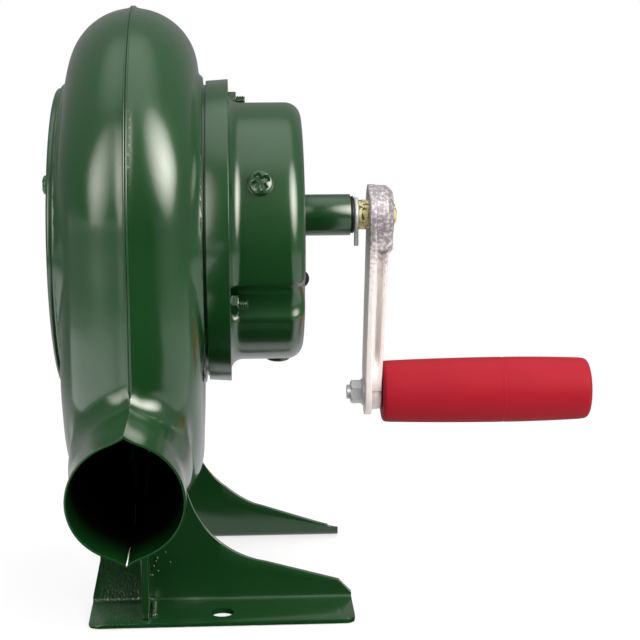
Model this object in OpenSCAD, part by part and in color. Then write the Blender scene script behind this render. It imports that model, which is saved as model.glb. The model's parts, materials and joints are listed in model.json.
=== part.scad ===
// Hand crank blower: two pressed housing halves, geared fan, side crank with a turning grip.
// X runs along the fan shaft towards the crank, -Y is the way the air leaves, Z is up.
// Modules are drawn about the fan axis with X = 0 on the housing seam; seated() moves them to the base.

/* [Housing] */
// Height of the fan axis above the base
axis_height = 142.5; // [138:0.5:150]
// Reach of the housing in front of the fan axis
volute_front = 72; // [70:0.5:76]
// Reach of the housing above the fan axis
volute_top = 88.7; // [85:0.1:90]
// Reach of the housing behind the fan axis
volute_back = 102; // [99:0.5:106]
// Reach of the housing below the fan axis
volute_bottom = 113.3; // [110:0.1:117]
// Depth of the inlet side half, also the radius of its round edge
left_width = 27; // [25:0.1:27.5]
// Depth of the gear side half, also the radius of its round edge
right_width = 26.8; // [25:0.1:27.5]
// Distance of the round steps on both sides from the seam
step_out = 28; // [27.8:0.1:29]
// Sheet thickness of the housing
shell_wall = 1.2; // [0.8:0.1:1.6]
// Height of the seam lip
lip_height = 1.2; // [0.6:0.1:2]
// Thickness of the lip on each half
lip_thick = 1.1; // [0.8:0.1:1.5]

/* [Outlet] */
// Outer radius of the outlet pipe
outlet_radius = 21; // [19:0.1:22]
// Reach of the outlet mouth in front of the fan axis
outlet_reach = 110; // [105:1:116]
// Height of the pipe bottom above the housing bottom
outlet_rise = 12.5; // [11:0.1:14]
// Length of the straight end of the pipe
outlet_straight = 24; // [18:1:28]
// Outer radius of the pipe where it joins the housing
outlet_root = 25.2; // [23:0.1:26]
// Height of the pointed seam on the pipe
cusp_height = 2.5; // [1.5:0.1:3]
// Half angle of the pointed seam, degrees
cusp_angle = 17; // [14:1:18]
// Width of the open slit under the mouth
slit_width = 1.4; // [0.6:0.1:2]
// Length of the open slit
slit_length = 26; // [15:1:34]

/* [Inlet side] */
// Radius of the round inlet cover
cover_radius = 59.5; // [57:0.5:61]
// Distance of the cover centre below the fan axis
cover_drop = 2; // [0:0.5:3]
// Thickness of the inlet cover
cover_thick = 2; // [1.5:0.1:3]
// Radius of the air inlet
inlet_radius = 27; // [24:0.5:30]
// Width of the cover inside the opening of the housing
cover_inset = 15; // [4:0.5:18]
// Depth of the turned-in inlet lip
inlet_lip = 6; // [4:0.5:7]
// Radius of the ring of cover screws
cover_screw_ring = 51; // [48:0.5:53]
// Radius of a cover screw head
cover_head_radius = 3.6; // [3:0.1:4]

/* [Collar and gear case] */
// Width of the round step around the collar
step_margin = 1.3; // [0.9:0.1:2.2]
// Distance of the collar outside from the gear case outside
collar_margin = 9.7; // [9.2:0.1:11]
// Distance of the collar edge from the seam
collar_end = 37; // [35:0.5:39]
// Thickness of the gear plate
plate_thick = 1.5; // [1.2:0.1:2]
// Outer radius of the gear case
case_radius = 51.8; // [49:0.1:53]
// Distance of the gear case face from the seam
case_face = 65.7; // [65:0.1:70]
// Sheet thickness of the gear case
case_wall = 1.2; // [0.8:0.1:1.5]
// Rounding of the gear case edge
case_fillet = 6.5; // [5:0.5:8]
// Distance of the ring of plate bolts outside the gear case
bolt_offset = 0.3; // [0:0.1:1]
// Depth of the pressed grooves
groove_depth = 4.5; // [3.8:0.1:5]
// Width of the pressed grooves
groove_width = 16.5; // [14:0.5:18]
// Radius of the plate bolts
plate_bolt_radius = 2; // [1.5:0.1:2.2]
// Width of a plate nut across its flats
plate_nut_flats = 7; // [6.4:0.1:7.4]
// Radius of a case screw head
case_head_radius = 4.9; // [4:0.1:5.2]
// Radius of a case screw thread
case_screw_radius = 2.4; // [2:0.1:2.6]

/* [Gears] */
// Gear module, the tooth size
gear_module = 1; // [0.9:0.02:1.04]
// Teeth of the drive gear on the crank shaft
drive_teeth = 56;
// Teeth of both pinions
pinion_teeth = 12;
// Teeth of the large middle gear
idler_teeth = 36;
// Width of the drive gear
drive_width = 6; // [4:0.5:6.5]
// Width of the middle gear
idler_width = 5.4; // [4:0.2:6]
// Radius of the fixed middle pin
idler_pin_radius = 2.5; // [2:0.1:2.8]

/* [Fan] */
// Radius of the fan shaft in its bushes
fan_shaft_radius = 4; // [3.5:0.1:4.5]
// Outer radius of the fan
fan_radius = 50; // [46:0.5:54]
// Width of the fan blades
blade_width = 36; // [30:1:38]
// Number of fan blades
blade_count = 8; // [6:1:10]
// Sheet thickness of the fan
fan_sheet = 1.2; // [0.8:0.1:1.6]

/* [Crank] */
// Radius of the crank shaft
shaft_radius = 6.1; // [5.5:0.1:6.3]
// Outer radius of the crank sleeve
sleeve_radius = 8.45; // [8.2:0.05:9.5]
// Length of the sleeve in front of the case
sleeve_length = 20.6; // [16:0.2:24]
// Distance from the crank shaft to the grip axis
crank_throw = 74.5; // [68:0.5:82]
// Gap between sleeve and crank arm
arm_gap = 7.4; // [6.6:0.1:9]
// Thickness of the arm boss
boss_thick = 9.9; // [8:0.1:12]
// Radius of the arm boss
boss_radius = 12.4; // [11:0.1:14]
// Thickness of the arm at its lower end
arm_thick = 7; // [6:0.1:8]
// Radius of the lower end of the arm
arm_end_radius = 9.6; // [8.5:0.1:11]
// Sideways offset of the lower end towards the case
arm_offset = 1.6; // [0:0.1:3]

/* [Grip] */
// Length of the grip
grip_length = 87.2; // [80:0.2:100]
// Largest radius of the grip
grip_radius = 13.7; // [13.2:0.1:15.5]
// Radius of the grip at its ends
grip_end_radius = 12.8; // [12:0.1:13.1]
// Radius of the grip bolt
grip_bolt_radius = 3; // [2.5:0.1:3.5]

/* [Feet] */
// Distance between the outer faces of the two webs
web_span = 84; // [76:1:90]
// Width of the foot flange in front of the web
flange_width = 24.6; // [22:0.2:28]
// Sheet thickness of the feet
foot_sheet = 2; // [1.5:0.1:2.4]
// Reach of the feet from the seam to the inlet side
foot_left = 18.4; // [16:0.1:22]
// Reach of the feet from the seam to the crank side
foot_right = 83; // [78:0.5:90]
// Distance of the bolt holes from the web
hole_inset = 14.8; // [12:0.2:16]
// Radius of the bolt holes
foot_hole_radius = 4.45; // [3.5:0.05:5]
// Thickness of the outlet gusset
gusset_thick = 2.8; // [1.6:0.1:3]

/* [Hidden] */
$fn = 64;
run_gap = 0.05;
fit_gap = 0.05;
loose_gap = 0.3;
seat_gap = 0.1;

// Housing outline: four arcs that meet with common tangents and one straight front wall.
growth = (volute_top + volute_bottom - volute_front - volute_back) / 2;
arc_a = (volute_front + volute_back - growth) / 2;
arc_b = arc_a + growth;
arc_c = arc_b + growth;
center_a = [volute_back - arc_b, volute_top - arc_a];
center_b = center_a - [0, growth];
center_c = center_b - [growth, 0];
arc_d = arc_a - growth;
center_d = [center_c[0], arc_d - volute_bottom];
wall_run = center_a[1] - center_d[1];

// Outlet
outlet_z = -(volute_bottom - outlet_rise - outlet_radius);
outlet_root_y = -(volute_front - 42);
slit_y = -outlet_reach + slit_length;

// Inlet cover and collar
step_in = step_out - shell_wall;
cover_in = -step_out - fit_gap;
cover_out = cover_in - cover_thick;
cover_screw_radius = cover_head_radius * 0.5;
cover_axis = [0, -cover_drop];
collar_radius = case_radius + collar_margin;
step_radius = collar_radius + step_margin;
bolt_ring = case_radius + bolt_offset;
collar_bore = collar_radius - shell_wall;
plate_out = collar_end - 1.4;
plate_in = plate_out - plate_thick;
flange_out = plate_out + seat_gap + case_wall;
case_in = case_face - case_wall;
case_bore = case_radius - case_wall;
groove_radius = (pow(groove_width / 2, 2) + pow(groove_depth, 2)) / (2 * groove_depth);
groove_center = case_radius - groove_depth + groove_radius;
bolt_angles = [205, 85, -35];
screw_angles = [153, 33, -87];
screw_places = [11.9, 11.9, 19.2];
tab_out = sqrt(pow(case_bore - 0.1, 2) - 49);
tab_in = tab_out - plate_thick;

// Gear train, axes as [Y, Z] from the fan axis
pressure = 25;
backlash = 0.16;
fan_mesh = gear_module * (idler_teeth + pinion_teeth) / 2;
crank_mesh = gear_module * (drive_teeth + pinion_teeth) / 2;
idler_dir = 226;
crank_dir = 41;
idler_axis = fan_mesh * [cos(idler_dir), sin(idler_dir)];
crank_axis = idler_axis + crank_mesh * [cos(crank_dir), sin(crank_dir)];
pinion_root = gear_module * (pinion_teeth / 2 - 1.25);
bearing_out = plate_out + 3;
pinion_a = bearing_out + 1.8;
pinion_b = pinion_a + 9;
idler_a = pinion_a + 1.8;
idler_b = idler_a + idler_width;
drive_a = max(pinion_b, idler_b) + 2.6;
drive_b = drive_a + drive_width;
small_a = idler_b + 1;
small_b = drive_b + 1.5;
bush_flange = 1.4;
hub_end = case_in - seat_gap - bush_flange - loose_gap;
hub_radius = 10;
pin_radius = 1.5;
pin_place = (drive_b + hub_end) / 2;

// Fan
bush_radius = fan_shaft_radius + 3;
tube_radius = bush_radius + 2.2;
tube_a = plate_in - 13.5;
bush_length = 8;
shaft_collar = tube_a - loose_gap - 1.2;
disc_b = shaft_collar - fit_gap;
disc_a = disc_b - fan_sheet;
hub_a = disc_a - 12;
thread_radius = fan_shaft_radius - 1;
blade_tip = disc_a - fit_gap;
blade_in = fan_radius - 23;
rivet_ring = fan_radius - 7;

// Crank, seen along the shaft from the case to the free end of the grip
sleeve_end = case_face + sleeve_length;
crank_bush_radius = shaft_radius + 1.2;
arm_in = sleeve_end + arm_gap;
arm_out = arm_in + boss_thick;
flat_cut = shaft_radius - 1.2;
washer_a = sleeve_end + loose_gap;
washer_b = washer_a + 1;
clip_wire = 0.95;
clip_place = washer_b + clip_wire + 0.15;
groove_floor = shaft_radius - 0.7;
low_in = arm_in - arm_offset;
low_out = low_in + arm_thick;
grip_axis = crank_axis - [0, crank_throw];
grip_a = low_out + loose_gap;
grip_b = grip_a + grip_length;
grip_fat = grip_a + grip_length * 0.58;
grip_bore = grip_bolt_radius + 0.1;
bolt_head_radius = grip_bolt_radius * 1.75;
head_pocket = grip_b - 7;
nut_flats = grip_bolt_radius * 2.9;
nut_a = low_in - fit_gap - 5.6;

// Feet
web_y = web_span / 2;
foot_x = (foot_right - foot_left) / 2;
hole_y = web_y + hole_inset;
bend_out = foot_sheet + 1.5;
web_arc = 38;
web_arc_x = foot_right - 26.8;
web_arc_z = 16.25 + web_arc;
web_side = web_arc_x - web_arc - 0.5;
web_tail = foot_right - 4.8;
web_bow = foot_right - 37;
gusset_x = lip_thick + 0.7;
gusset_y = web_y + flange_width - 3.6;

// Moves a piece from the fan axis to the base, with the origin between the two bolt holes.
module seated() {
    translate([-foot_x, 0, axis_height]) children();
}

// Turns a piece drawn along Z so that it lies along X, with its own x to Y and its own y to Z.
module along_x(place = 0, axis = [0, 0]) {
    translate([place, axis[0], axis[1]]) rotate([90, 0, 90]) children();
}

module tube(outer, inner, length) {
    difference() {
        cylinder(r = outer, h = length);
        translate([0, 0, -1]) cylinder(r = inner, h = length + 2);
    }
}

// Section of one housing half: flat side up to mid, then a round edge. It starts at low, on or below the seam.
module section(mid, edge, low) {
    if (mid > 0)
        translate([0, low]) square([mid, edge - low]);
    intersection() {
        translate([mid, 0]) circle(r = edge);
        translate([mid, 0]) square(edge);
    }
    if (low < 0)
        translate([mid, low]) square([edge, -low]);
}

module sweep(center, from_angle, to_angle, mid, edge, low) {
    translate([center[0], center[1], 0])
        rotate([0, 0, from_angle])
            rotate_extrude(angle = to_angle - from_angle)
                section(mid, edge, low);
}

// One housing half without outlet; grow moves every wall outwards.
module half_body(width, grow, low) {
    edge = width + grow;
    wall = width - volute_front;
    along_x() {
        sweep(center_a, 90, 180, arc_a - width, edge, low);
        sweep(center_b, 0, 90, arc_b - width, edge, low);
        sweep(center_c, -90, 0, arc_c - width, edge, low);
        sweep(center_d, 180, 270, arc_d - width, edge, low);
        translate([0, 0, low])
            linear_extrude(height = edge - low)
                polygon([
                    center_a, [wall, center_a[1]], [wall, center_d[1]], center_d, center_c, center_b
                ]);
        translate([wall, center_d[1], 0])
            rotate([90, 0, 180])
                linear_extrude(height = wall_run)
                    section(0, edge, low);
    }
}

module body(grow) {
    half_body(right_width, grow, 0);
    mirror([1, 0, 0]) half_body(left_width, grow, 0);
}

module lip_ring(center, from_angle, to_angle, radius, grow) {
    translate([center[0], center[1], 0])
        rotate([0, 0, from_angle])
            rotate_extrude(angle = to_angle - from_angle)
                translate([radius - 0.4, 0])
                    square([lip_height + 0.4 + grow, lip_thick + grow]);
}

// Lip of one half along the seam.
module half_lip(grow) {
    along_x() {
        lip_ring(center_a, 90, 180, arc_a, grow);
        lip_ring(center_b, 0, 90, arc_b, grow);
        lip_ring(center_c, -90, 0, arc_c, grow);
        lip_ring(center_d, 180, 270, arc_d, grow);
        translate([-volute_front, center_d[1], 0])
            rotate([90, 0, 180])
                linear_extrude(height = wall_run)
                    translate([-0.4, 0])
                        square([lip_height + 0.4 + grow, lip_thick + grow]);
    }
}

module lips(grow) {
    half_lip(grow);
    mirror([1, 0, 0]) half_lip(grow);
}

module cusp(radius, side) {
    tip = radius + cusp_height;
    half = (radius - 0.1) * sin(cusp_angle);
    base = (radius - 0.1) * cos(cusp_angle);
    polygon([[0, side * tip], [half, side * base], [0, side * (base - 1)], [-half, side * base]]);
}

// Outlet pipe: straight end, cone into the housing and pointed seams.
module outlet(grow, past) {
    radius = outlet_radius + grow;
    front = outlet_reach + past;
    cone_a = outlet_reach - outlet_straight;
    translate([0, -cone_a, outlet_z]) rotate([90, 0, 0]) cylinder(r = radius, h = front - cone_a);
    translate([0, outlet_root_y, outlet_z])
        rotate([90, 0, 0])
            cylinder(r1 = outlet_root + grow, r2 = radius, h = cone_a + outlet_root_y);
    translate([0, outlet_root_y, outlet_z])
        rotate([90, 0, 0])
            linear_extrude(height = front + outlet_root_y) {
                cusp(radius, 1);
                cusp(radius, -1);
            }
}

// One housing half, drawn on the crank side of the seam, with its round step.
module half_shell(width, step, axis) {
    difference() {
        union() {
            half_body(width, 0, 0);
            half_lip(0);
            intersection() {
                outlet(0, 0);
                half_space();
            }
            along_x(0, axis) cylinder(r = step, h = step_out);
        }
        half_body(width, -shell_wall, -1);
        outlet(-shell_wall, 1);
        along_x(-1, axis) cylinder(r = step - shell_wall, h = step_in + 1);
        slit();
    }
}

module slit() {
    translate([0, 0, outlet_z - outlet_radius - 6])
        linear_extrude(height = 14)
            polygon([[0, slit_y], [-slit_width / 2, -outlet_reach - 1], [slit_width / 2, -outlet_reach - 1]]);
}

module half_space() {
    translate([0, -200, -200]) cube([120, 400, 400]);
}

module volute_left_half() {
    color("DarkGreen")
        difference() {
            mirror([1, 0, 0]) half_shell(left_width, cover_radius + 1.5, cover_axis);
            along_x(-step_out - 1, cover_axis) cylinder(r = inlet_radius + cover_inset, h = 6);
            for (a = [150, 30, -90])
                along_x(-step_out - 1, cover_axis + cover_screw_ring * [cos(a), sin(a)])
                    cylinder(r = cover_screw_radius + fit_gap, h = 6);
        }
}

// The gear side half also has the collar.
module volute_right_half() {
    color("DarkGreen")
        difference() {
            union() {
                half_shell(right_width, step_radius, [0, 0]);
                along_x(step_in - 0.2) tube(collar_radius, collar_bore, collar_end - step_in + 0.2);
            }
            along_x(step_in - 2) cylinder(r = collar_bore, h = 6);
        }
}

// Front foot for side = -1, rear foot for side = 1.
module foot(side) {
    inner = web_y - foot_sheet;
    difference() {
        union() {
            translate([-foot_left, side > 0 ? inner + bend_out : -web_y - flange_width, -axis_height])
                cube([foot_left + foot_right, flange_width + foot_sheet - bend_out, foot_sheet]);
            bend(side);
            difference() {
                translate([0, side > 0 ? web_y : -inner, -axis_height])
                    rotate([90, 0, 0])
                        linear_extrude(height = foot_sheet)
                            web_outline();
                body(seat_gap);
                lips(seat_gap);
                outlet(seat_gap, 1);
            }
        }
        translate([foot_x, side * hole_y, -axis_height - 1])
            cylinder(r = foot_hole_radius, h = foot_sheet + 2);
    }
}

module bend(side) {
    inner = web_y - foot_sheet;
    translate([-foot_left, side * (inner + bend_out), bend_out - axis_height])
        rotate([90, 0, 90])
            linear_extrude(height = foot_left + foot_right)
                intersection() {
                    difference() {
                        circle(r = bend_out);
                        circle(r = bend_out - foot_sheet);
                    }
                    translate([side > 0 ? -bend_out : 0, -bend_out]) square(bend_out);
                }
}

module web_outline() {
    top = axis_height - volute_bottom + 40;
    difference() {
        polygon([
            [-foot_left, bend_out], [foot_right, bend_out], [foot_right - 0.8, 4.6], [web_tail, 8.9],
            [web_bow, 17.8], [web_bow, web_arc_z], [web_side, web_arc_z],
            [web_side, top], [-foot_left + 5, top], [-foot_left + 3.2, 19]
        ]);
        translate([web_arc_x, web_arc_z]) circle(r = web_arc);
    }
}

module front_foot() {
    color("DarkGreen") foot(-1);
}

module rear_foot() {
    color("DarkGreen") foot(1);
}

// Upright plate under the pipe, cut to the housing, notched over the bend of the foot.
module outlet_gusset() {
    base = foot_sheet + seat_gap - axis_height;
    back = -web_y - seat_gap;
    color("DarkGreen")
        difference() {
            translate([gusset_x, 0, 0])
                rotate([90, 0, 90])
                    linear_extrude(height = gusset_thick)
                        polygon([
                            [-gusset_y, base], [back - 2, base], [back, base + 2],
                            [back, outlet_z], [-gusset_y, outlet_z]
                        ]);
            body(seat_gap);
            outlet(seat_gap, 1);
        }
}

module inlet_cover() {
    color("DarkGreen")
        difference() {
            union() {
                along_x(cover_out, cover_axis) cylinder(r = cover_radius, h = cover_thick);
                along_x(cover_in - 0.5, cover_axis) cylinder(r = inlet_radius + shell_wall, h = inlet_lip + 0.5);
            }
            along_x(cover_out - 1, cover_axis) cylinder(r = inlet_radius, h = cover_thick + inlet_lip + 2);
            for (a = [150, 30, -90])
                along_x(cover_out - 1, cover_axis + cover_screw_ring * [cos(a), sin(a)])
                    cylinder(r = cover_screw_radius + fit_gap, h = cover_thick + 2);
        }
}

module inlet_screws() {
    color("DarkGreen")
        for (a = [150, 30, -90])
            along_x(cover_out - fit_gap, cover_axis + cover_screw_ring * [cos(a), sin(a)]) {
                translate([0, 0, -2.2]) cylinder(r1 = cover_head_radius * 0.7, r2 = cover_head_radius, h = 2.2);
                cylinder(r = cover_screw_radius, h = cover_thick + 4);
            }
}

// Plate pressed into the collar, with three tabs for the case screws.
module gear_plate() {
    reach = case_in - 6;
    color("DarkGreen")
        difference() {
            union() {
                along_x(plate_in) cylinder(r = collar_bore - fit_gap, h = plate_thick);
                along_x(plate_in - 5) tube(collar_bore - fit_gap, collar_bore - plate_thick, 5.5);
                for (a = screw_angles)
                    along_x(plate_out - 0.5)
                        rotate([0, 0, a])
                            translate([tab_in, -7, 0])
                                cube([tab_out - tab_in, 14, reach - plate_out]);
            }
            along_x(plate_in - 1) cylinder(r = tube_radius + fit_gap, h = plate_thick + 2);
            along_x(plate_in - 1, idler_axis) cylinder(r = idler_pin_radius + fit_gap, h = plate_thick + 2);
            for (a = bolt_angles)
                along_x(plate_in - 1, bolt_ring * [cos(a), sin(a)])
                    cylinder(r = plate_bolt_radius + fit_gap, h = plate_thick + 2);
            for (i = [0:2])
                radial(i, tab_in - 1) cylinder(r = case_screw_radius + fit_gap, h = plate_thick + 2);
        }
}

// Places a piece on the axis of a case screw, starting at a radius.
module radial(i, start) {
    along_x(flange_out + screw_places[i])
        rotate([0, 0, screw_angles[i]])
            translate([start, 0, 0])
                rotate([0, 90, 0])
                    children();
}

module case_profile(radius, from_x, to_x, fillet) {
    translate([0, from_x]) square([radius, to_x - from_x - fillet]);
    translate([0, from_x]) square([radius - fillet, to_x - from_x]);
    intersection() {
        translate([radius - fillet, to_x - fillet]) circle(r = fillet);
        translate([radius - fillet, to_x - fillet]) square(fillet);
    }
}

module grooves(radius, from_x) {
    for (a = bolt_angles)
        along_x(from_x, groove_center * [cos(a), sin(a)])
            cylinder(r = radius, h = 60);
}

// Drawn case with a flared base, three pressed grooves and a flange on the gear plate.
module gear_case() {
    start = plate_out + seat_gap;
    flare = 3;
    color("DarkGreen")
        difference() {
            union() {
                along_x(start) cylinder(r = collar_bore - 1, h = case_wall);
                difference() {
                    union() {
                        along_x() rotate_extrude() case_profile(case_radius, start, case_face, case_fillet);
                        along_x(flange_out)
                            rotate_extrude()
                                difference() {
                                    translate([case_radius - 1, -0.1]) square([flare + 1, flare + 0.1]);
                                    translate([case_radius + flare, flare]) circle(r = flare);
                                }
                    }
                    grooves(groove_radius, flange_out);
                }
            }
            difference() {
                along_x()
                    rotate_extrude()
                        case_profile(case_bore, start - 1, case_in, case_fillet - case_wall);
                grooves(groove_radius + case_wall, flange_out - case_wall);
            }
            along_x(case_in - 1, crank_axis) cylinder(r = sleeve_radius + fit_gap, h = 4);
            along_x(case_in - 1, idler_axis) cylinder(r = idler_pin_radius * 0.6 + fit_gap, h = 4);
            for (a = bolt_angles)
                along_x(start - 1, bolt_ring * [cos(a), sin(a)])
                    cylinder(r = plate_bolt_radius + fit_gap, h = 3);
            for (i = [0:2])
                radial(i, case_bore - 3) cylinder(r = case_screw_radius + fit_gap, h = 6);
        }
}

module case_screws() {
    color("DarkGreen")
        for (i = [0:2]) {
            radial(i, tab_in - 3) cylinder(r = case_screw_radius, h = case_radius - tab_in + 3.3);
            radial(i, case_radius + fit_gap)
                difference() {
                    union() {
                        cylinder(r = case_head_radius, h = 1.4);
                        translate([0, 0, 1.4])
                            cylinder(r1 = case_head_radius, r2 = case_head_radius * 0.68, h = 1.2);
                    }
                    for (t = [0, 90])
                        rotate([0, 0, t + 45])
                            translate([-2.6, -0.5, 1.2]) cube([5.2, 1, 2]);
                }
        }
}

module plate_bolts() {
    color("DarkGreen")
        for (a = bolt_angles)
            along_x(0, bolt_ring * [cos(a), sin(a)]) {
                translate([0, 0, plate_in - fit_gap - 2.6]) cylinder(r = plate_bolt_radius * 1.7, h = 2.6);
                translate([0, 0, plate_in - 1]) cylinder(r = plate_bolt_radius, h = flange_out - plate_in + 7.8);
            }
}

module plate_nuts() {
    color("DarkGreen")
        for (a = bolt_angles)
            along_x(flange_out + fit_gap, bolt_ring * [cos(a), sin(a)])
                difference() {
                    rotate([0, 0, a + 30]) cylinder(r = plate_nut_flats / sqrt(3), h = 3.2, $fn = 6);
                    translate([0, 0, -1]) cylinder(r = plate_bolt_radius + fit_gap, h = 6);
                }
}

module crank_sleeve() {
    color("DarkGreen")
        along_x(case_in, crank_axis)
            tube(sleeve_radius, crank_bush_radius + fit_gap, sleeve_end - case_in);
}

// Bush with a thrust flange inside the case.
module crank_bush() {
    color("Peru")
        along_x(0, crank_axis)
            difference() {
                union() {
                    translate([0, 0, case_in - seat_gap - bush_flange]) cylinder(r = hub_radius, h = bush_flange);
                    translate([0, 0, case_in - 1]) cylinder(r = crank_bush_radius, h = sleeve_end - case_in + 1);
                }
                translate([0, 0, case_in - 10]) cylinder(r = shaft_radius + run_gap, h = sleeve_length + 20);
            }
}

module bearing_tube() {
    color("DimGray")
        along_x(0)
            difference() {
                union() {
                    translate([0, 0, tube_a]) cylinder(r = tube_radius, h = bearing_out - tube_a);
                    translate([0, 0, plate_in - fit_gap - 2]) cylinder(r = tube_radius + 7, h = 2);
                }
                translate([0, 0, tube_a - 1]) cylinder(r = bush_radius + fit_gap, h = bearing_out - tube_a + 2);
            }
}

module fan_bush_inner() {
    color("Peru") along_x(tube_a) tube(bush_radius, fan_shaft_radius + run_gap, bush_length);
}

module fan_bush_outer() {
    color("Peru")
        along_x(bearing_out - bush_length) tube(bush_radius, fan_shaft_radius + run_gap, bush_length);
}

module idler_pin() {
    color("Silver")
        along_x(plate_in, idler_axis)
            difference() {
                cylinder(r = idler_pin_radius, h = case_in - plate_in - fit_gap);
                translate([0, 0, case_in - plate_in - 9]) cylinder(r = idler_pin_radius * 0.6 + fit_gap, h = 10);
            }
}

module idler_pin_screw() {
    head = idler_pin_radius * 1.4;
    color("DimGray")
        along_x(0, idler_axis) {
            translate([0, 0, case_in - 8]) cylinder(r = idler_pin_radius * 0.6, h = 9.5);
            translate([0, 0, case_face + fit_gap])
                rotate_extrude()
                    intersection() {
                        translate([0, -(head * head - 6.25) / 5]) circle(r = (head * head + 6.25) / 5);
                        square([head, 2.5]);
                    }
        }
}

module idler_spacers() {
    color("Silver") {
        along_x(plate_out + fit_gap, idler_axis)
            tube(pinion_root, idler_pin_radius + fit_gap, idler_a - loose_gap - 0.4 - plate_out);
        along_x(small_b + loose_gap, idler_axis)
            tube(pinion_root, idler_pin_radius + fit_gap, case_in - small_b - loose_gap - fit_gap);
    }
}

// Shaft with a clip groove, two flats for the arm and a threaded end bore.
module crank_shaft() {
    inner_end = drive_a - 0.4;
    color("Goldenrod")
        along_x(0, crank_axis)
            difference() {
                translate([0, 0, inner_end]) cylinder(r = shaft_radius, h = arm_out - inner_end - 0.3);
                translate([0, 0, clip_place - clip_wire - 0.1])
                    difference() {
                        cylinder(r = shaft_radius + 2, h = 2 * clip_wire + 0.2);
                        translate([0, 0, -1]) cylinder(r = groove_floor, h = 5);
                    }
                for (s = [0, 180])
                    rotate([0, 0, s])
                        translate([flat_cut, -10, arm_in - 0.5]) cube([6, 20, boss_thick + 2]);
                translate([0, 0, arm_out - 12]) cylinder(r = shaft_radius * 0.5 + fit_gap, h = 14);
                translate([0, 0, pin_place])
                    rotate([90, 0, 0])
                        cylinder(r = pin_radius + fit_gap, h = 40, center = true);
            }
}

function involute(a) = tan(a) * 180 / PI - a;

function tooth_half(n, r) =
    let (pitch = n * gear_module / 2, base = pitch * cos(pressure))
    90 / n - backlash * 45 / (PI * pitch) + involute(pressure) - involute(acos(min(1, base / r)));

function tooth(n, k) =
    let (
        pitch = n * gear_module / 2,
        root = pitch - 1.25 * gear_module,
        low = max(root + 0.01, pitch * cos(pressure)),
        tip = pitch + gear_module,
        mid = (low + tip) / 2,
        turn = k * 360 / n,
        rs = [root, low, mid, tip],
        hs = [tooth_half(n, low), tooth_half(n, low), tooth_half(n, mid), tooth_half(n, tip)]
    )
    concat(
        [for (i = [0:3]) rs[i] * [cos(turn - hs[i]), sin(turn - hs[i])]],
        [for (i = [3:-1:0]) rs[i] * [cos(turn + hs[i]), sin(turn + hs[i])]]
    );

module gear(n, width) {
    linear_extrude(height = width) polygon([for (k = [0:n - 1]) each tooth(n, k)]);
}

module drive_gear() {
    color("SteelBlue")
        along_x(0, crank_axis)
            difference() {
                union() {
                    translate([0, 0, drive_a])
                        rotate([0, 0, crank_dir + 180]) gear(drive_teeth, drive_width);
                    translate([0, 0, drive_b - 0.5]) cylinder(r = hub_radius, h = hub_end - drive_b + 0.5);
                }
                translate([0, 0, drive_a - 1]) cylinder(r = shaft_radius + fit_gap, h = 30);
                translate([0, 0, pin_place])
                    rotate([90, 0, 0])
                        cylinder(r = pin_radius + fit_gap, h = 40, center = true);
            }
}

module drive_pin() {
    color("Silver")
        along_x(pin_place, crank_axis)
            rotate([90, 0, 0])
                cylinder(r = pin_radius, h = 2 * hub_radius - 0.6, center = true);
}

module thrust_washer() {
    color("Black")
        along_x(washer_a, crank_axis) tube(shaft_radius + 1.5, shaft_radius + run_gap, washer_b - washer_a);
}

// Open wire ring in the shaft groove with one straight end hanging down.
module shaft_clip() {
    ring = groove_floor + clip_wire + fit_gap;
    color("Gray")
        along_x(clip_place, crank_axis) {
            rotate([0, 0, 280]) rotate_extrude(angle = 330) translate([ring, 0]) circle(r = clip_wire);
            translate([ring * cos(250), ring * sin(250), 0])
                rotate([90, 0, 0])
                    cylinder(r = clip_wire, h = 6.5);
        }
}

// Cast arm: round boss, tapering bar with a recess on each side and a rounded lower end.
module crank_arm() {
    top = crank_axis[1];
    low = grip_axis[1];
    bar_z = top - boss_radius + 3;
    bar_end = low - arm_end_radius;
    thick = boss_thick - 1.5;
    color("Silver")
        difference() {
            union() {
                along_x(arm_in, crank_axis) {
                    cylinder(r = boss_radius, h = boss_thick - 1.6);
                    translate([0, 0, boss_thick - 1.6]) cylinder(r1 = boss_radius, r2 = boss_radius - 2, h = 1.6);
                }
                intersection() {
                    arm_side(thick, bar_z, bar_end);
                    arm_face(top, low);
                }
            }
            for (s = [-1, 1])
                translate([0, crank_axis[0] + s * (arm_end_radius + 0.4), 0])
                    rotate([90, 0, 0])
                        linear_extrude(height = 4.4, center = true)
                            polygon([
                                [arm_in + 2.3, bar_z - 9], [arm_in + thick - 1.1, bar_z - 6],
                                [low_out - 1.1, low + arm_end_radius + 3], [low_in + 2, low + arm_end_radius]
                            ]);
            along_x(arm_in - 1, crank_axis)
                intersection() {
                    cylinder(r = shaft_radius + fit_gap, h = boss_thick + 2);
                    translate([-flat_cut - fit_gap, -10, 0]) cube([2 * (flat_cut + fit_gap), 20, 30]);
                }
            along_x(low_in - 5, grip_axis) cylinder(r = grip_bolt_radius + fit_gap, h = 20);
        }
}

module arm_side(thick, bar_z, bar_end) {
    translate([0, crank_axis[0] + 15, 0])
        rotate([90, 0, 0])
            linear_extrude(height = 30)
                polygon([
                    [arm_in, bar_z], [arm_in + thick, bar_z], [low_out, grip_axis[1] + arm_end_radius],
                    [low_out, bar_end], [low_in, bar_end], [low_in, grip_axis[1] + arm_end_radius]
                ]);
}

module arm_face(top, low) {
    wide = boss_radius - 1;
    along_x(low_in - 4) {
        linear_extrude(height = 30)
            polygon([
                [crank_axis[0] - wide, top], [crank_axis[0] + wide, top],
                [crank_axis[0] + arm_end_radius, low], [crank_axis[0] - arm_end_radius, low]
            ]);
        translate([grip_axis[0], grip_axis[1], 0]) cylinder(r = arm_end_radius, h = 30);
    }
}

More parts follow.
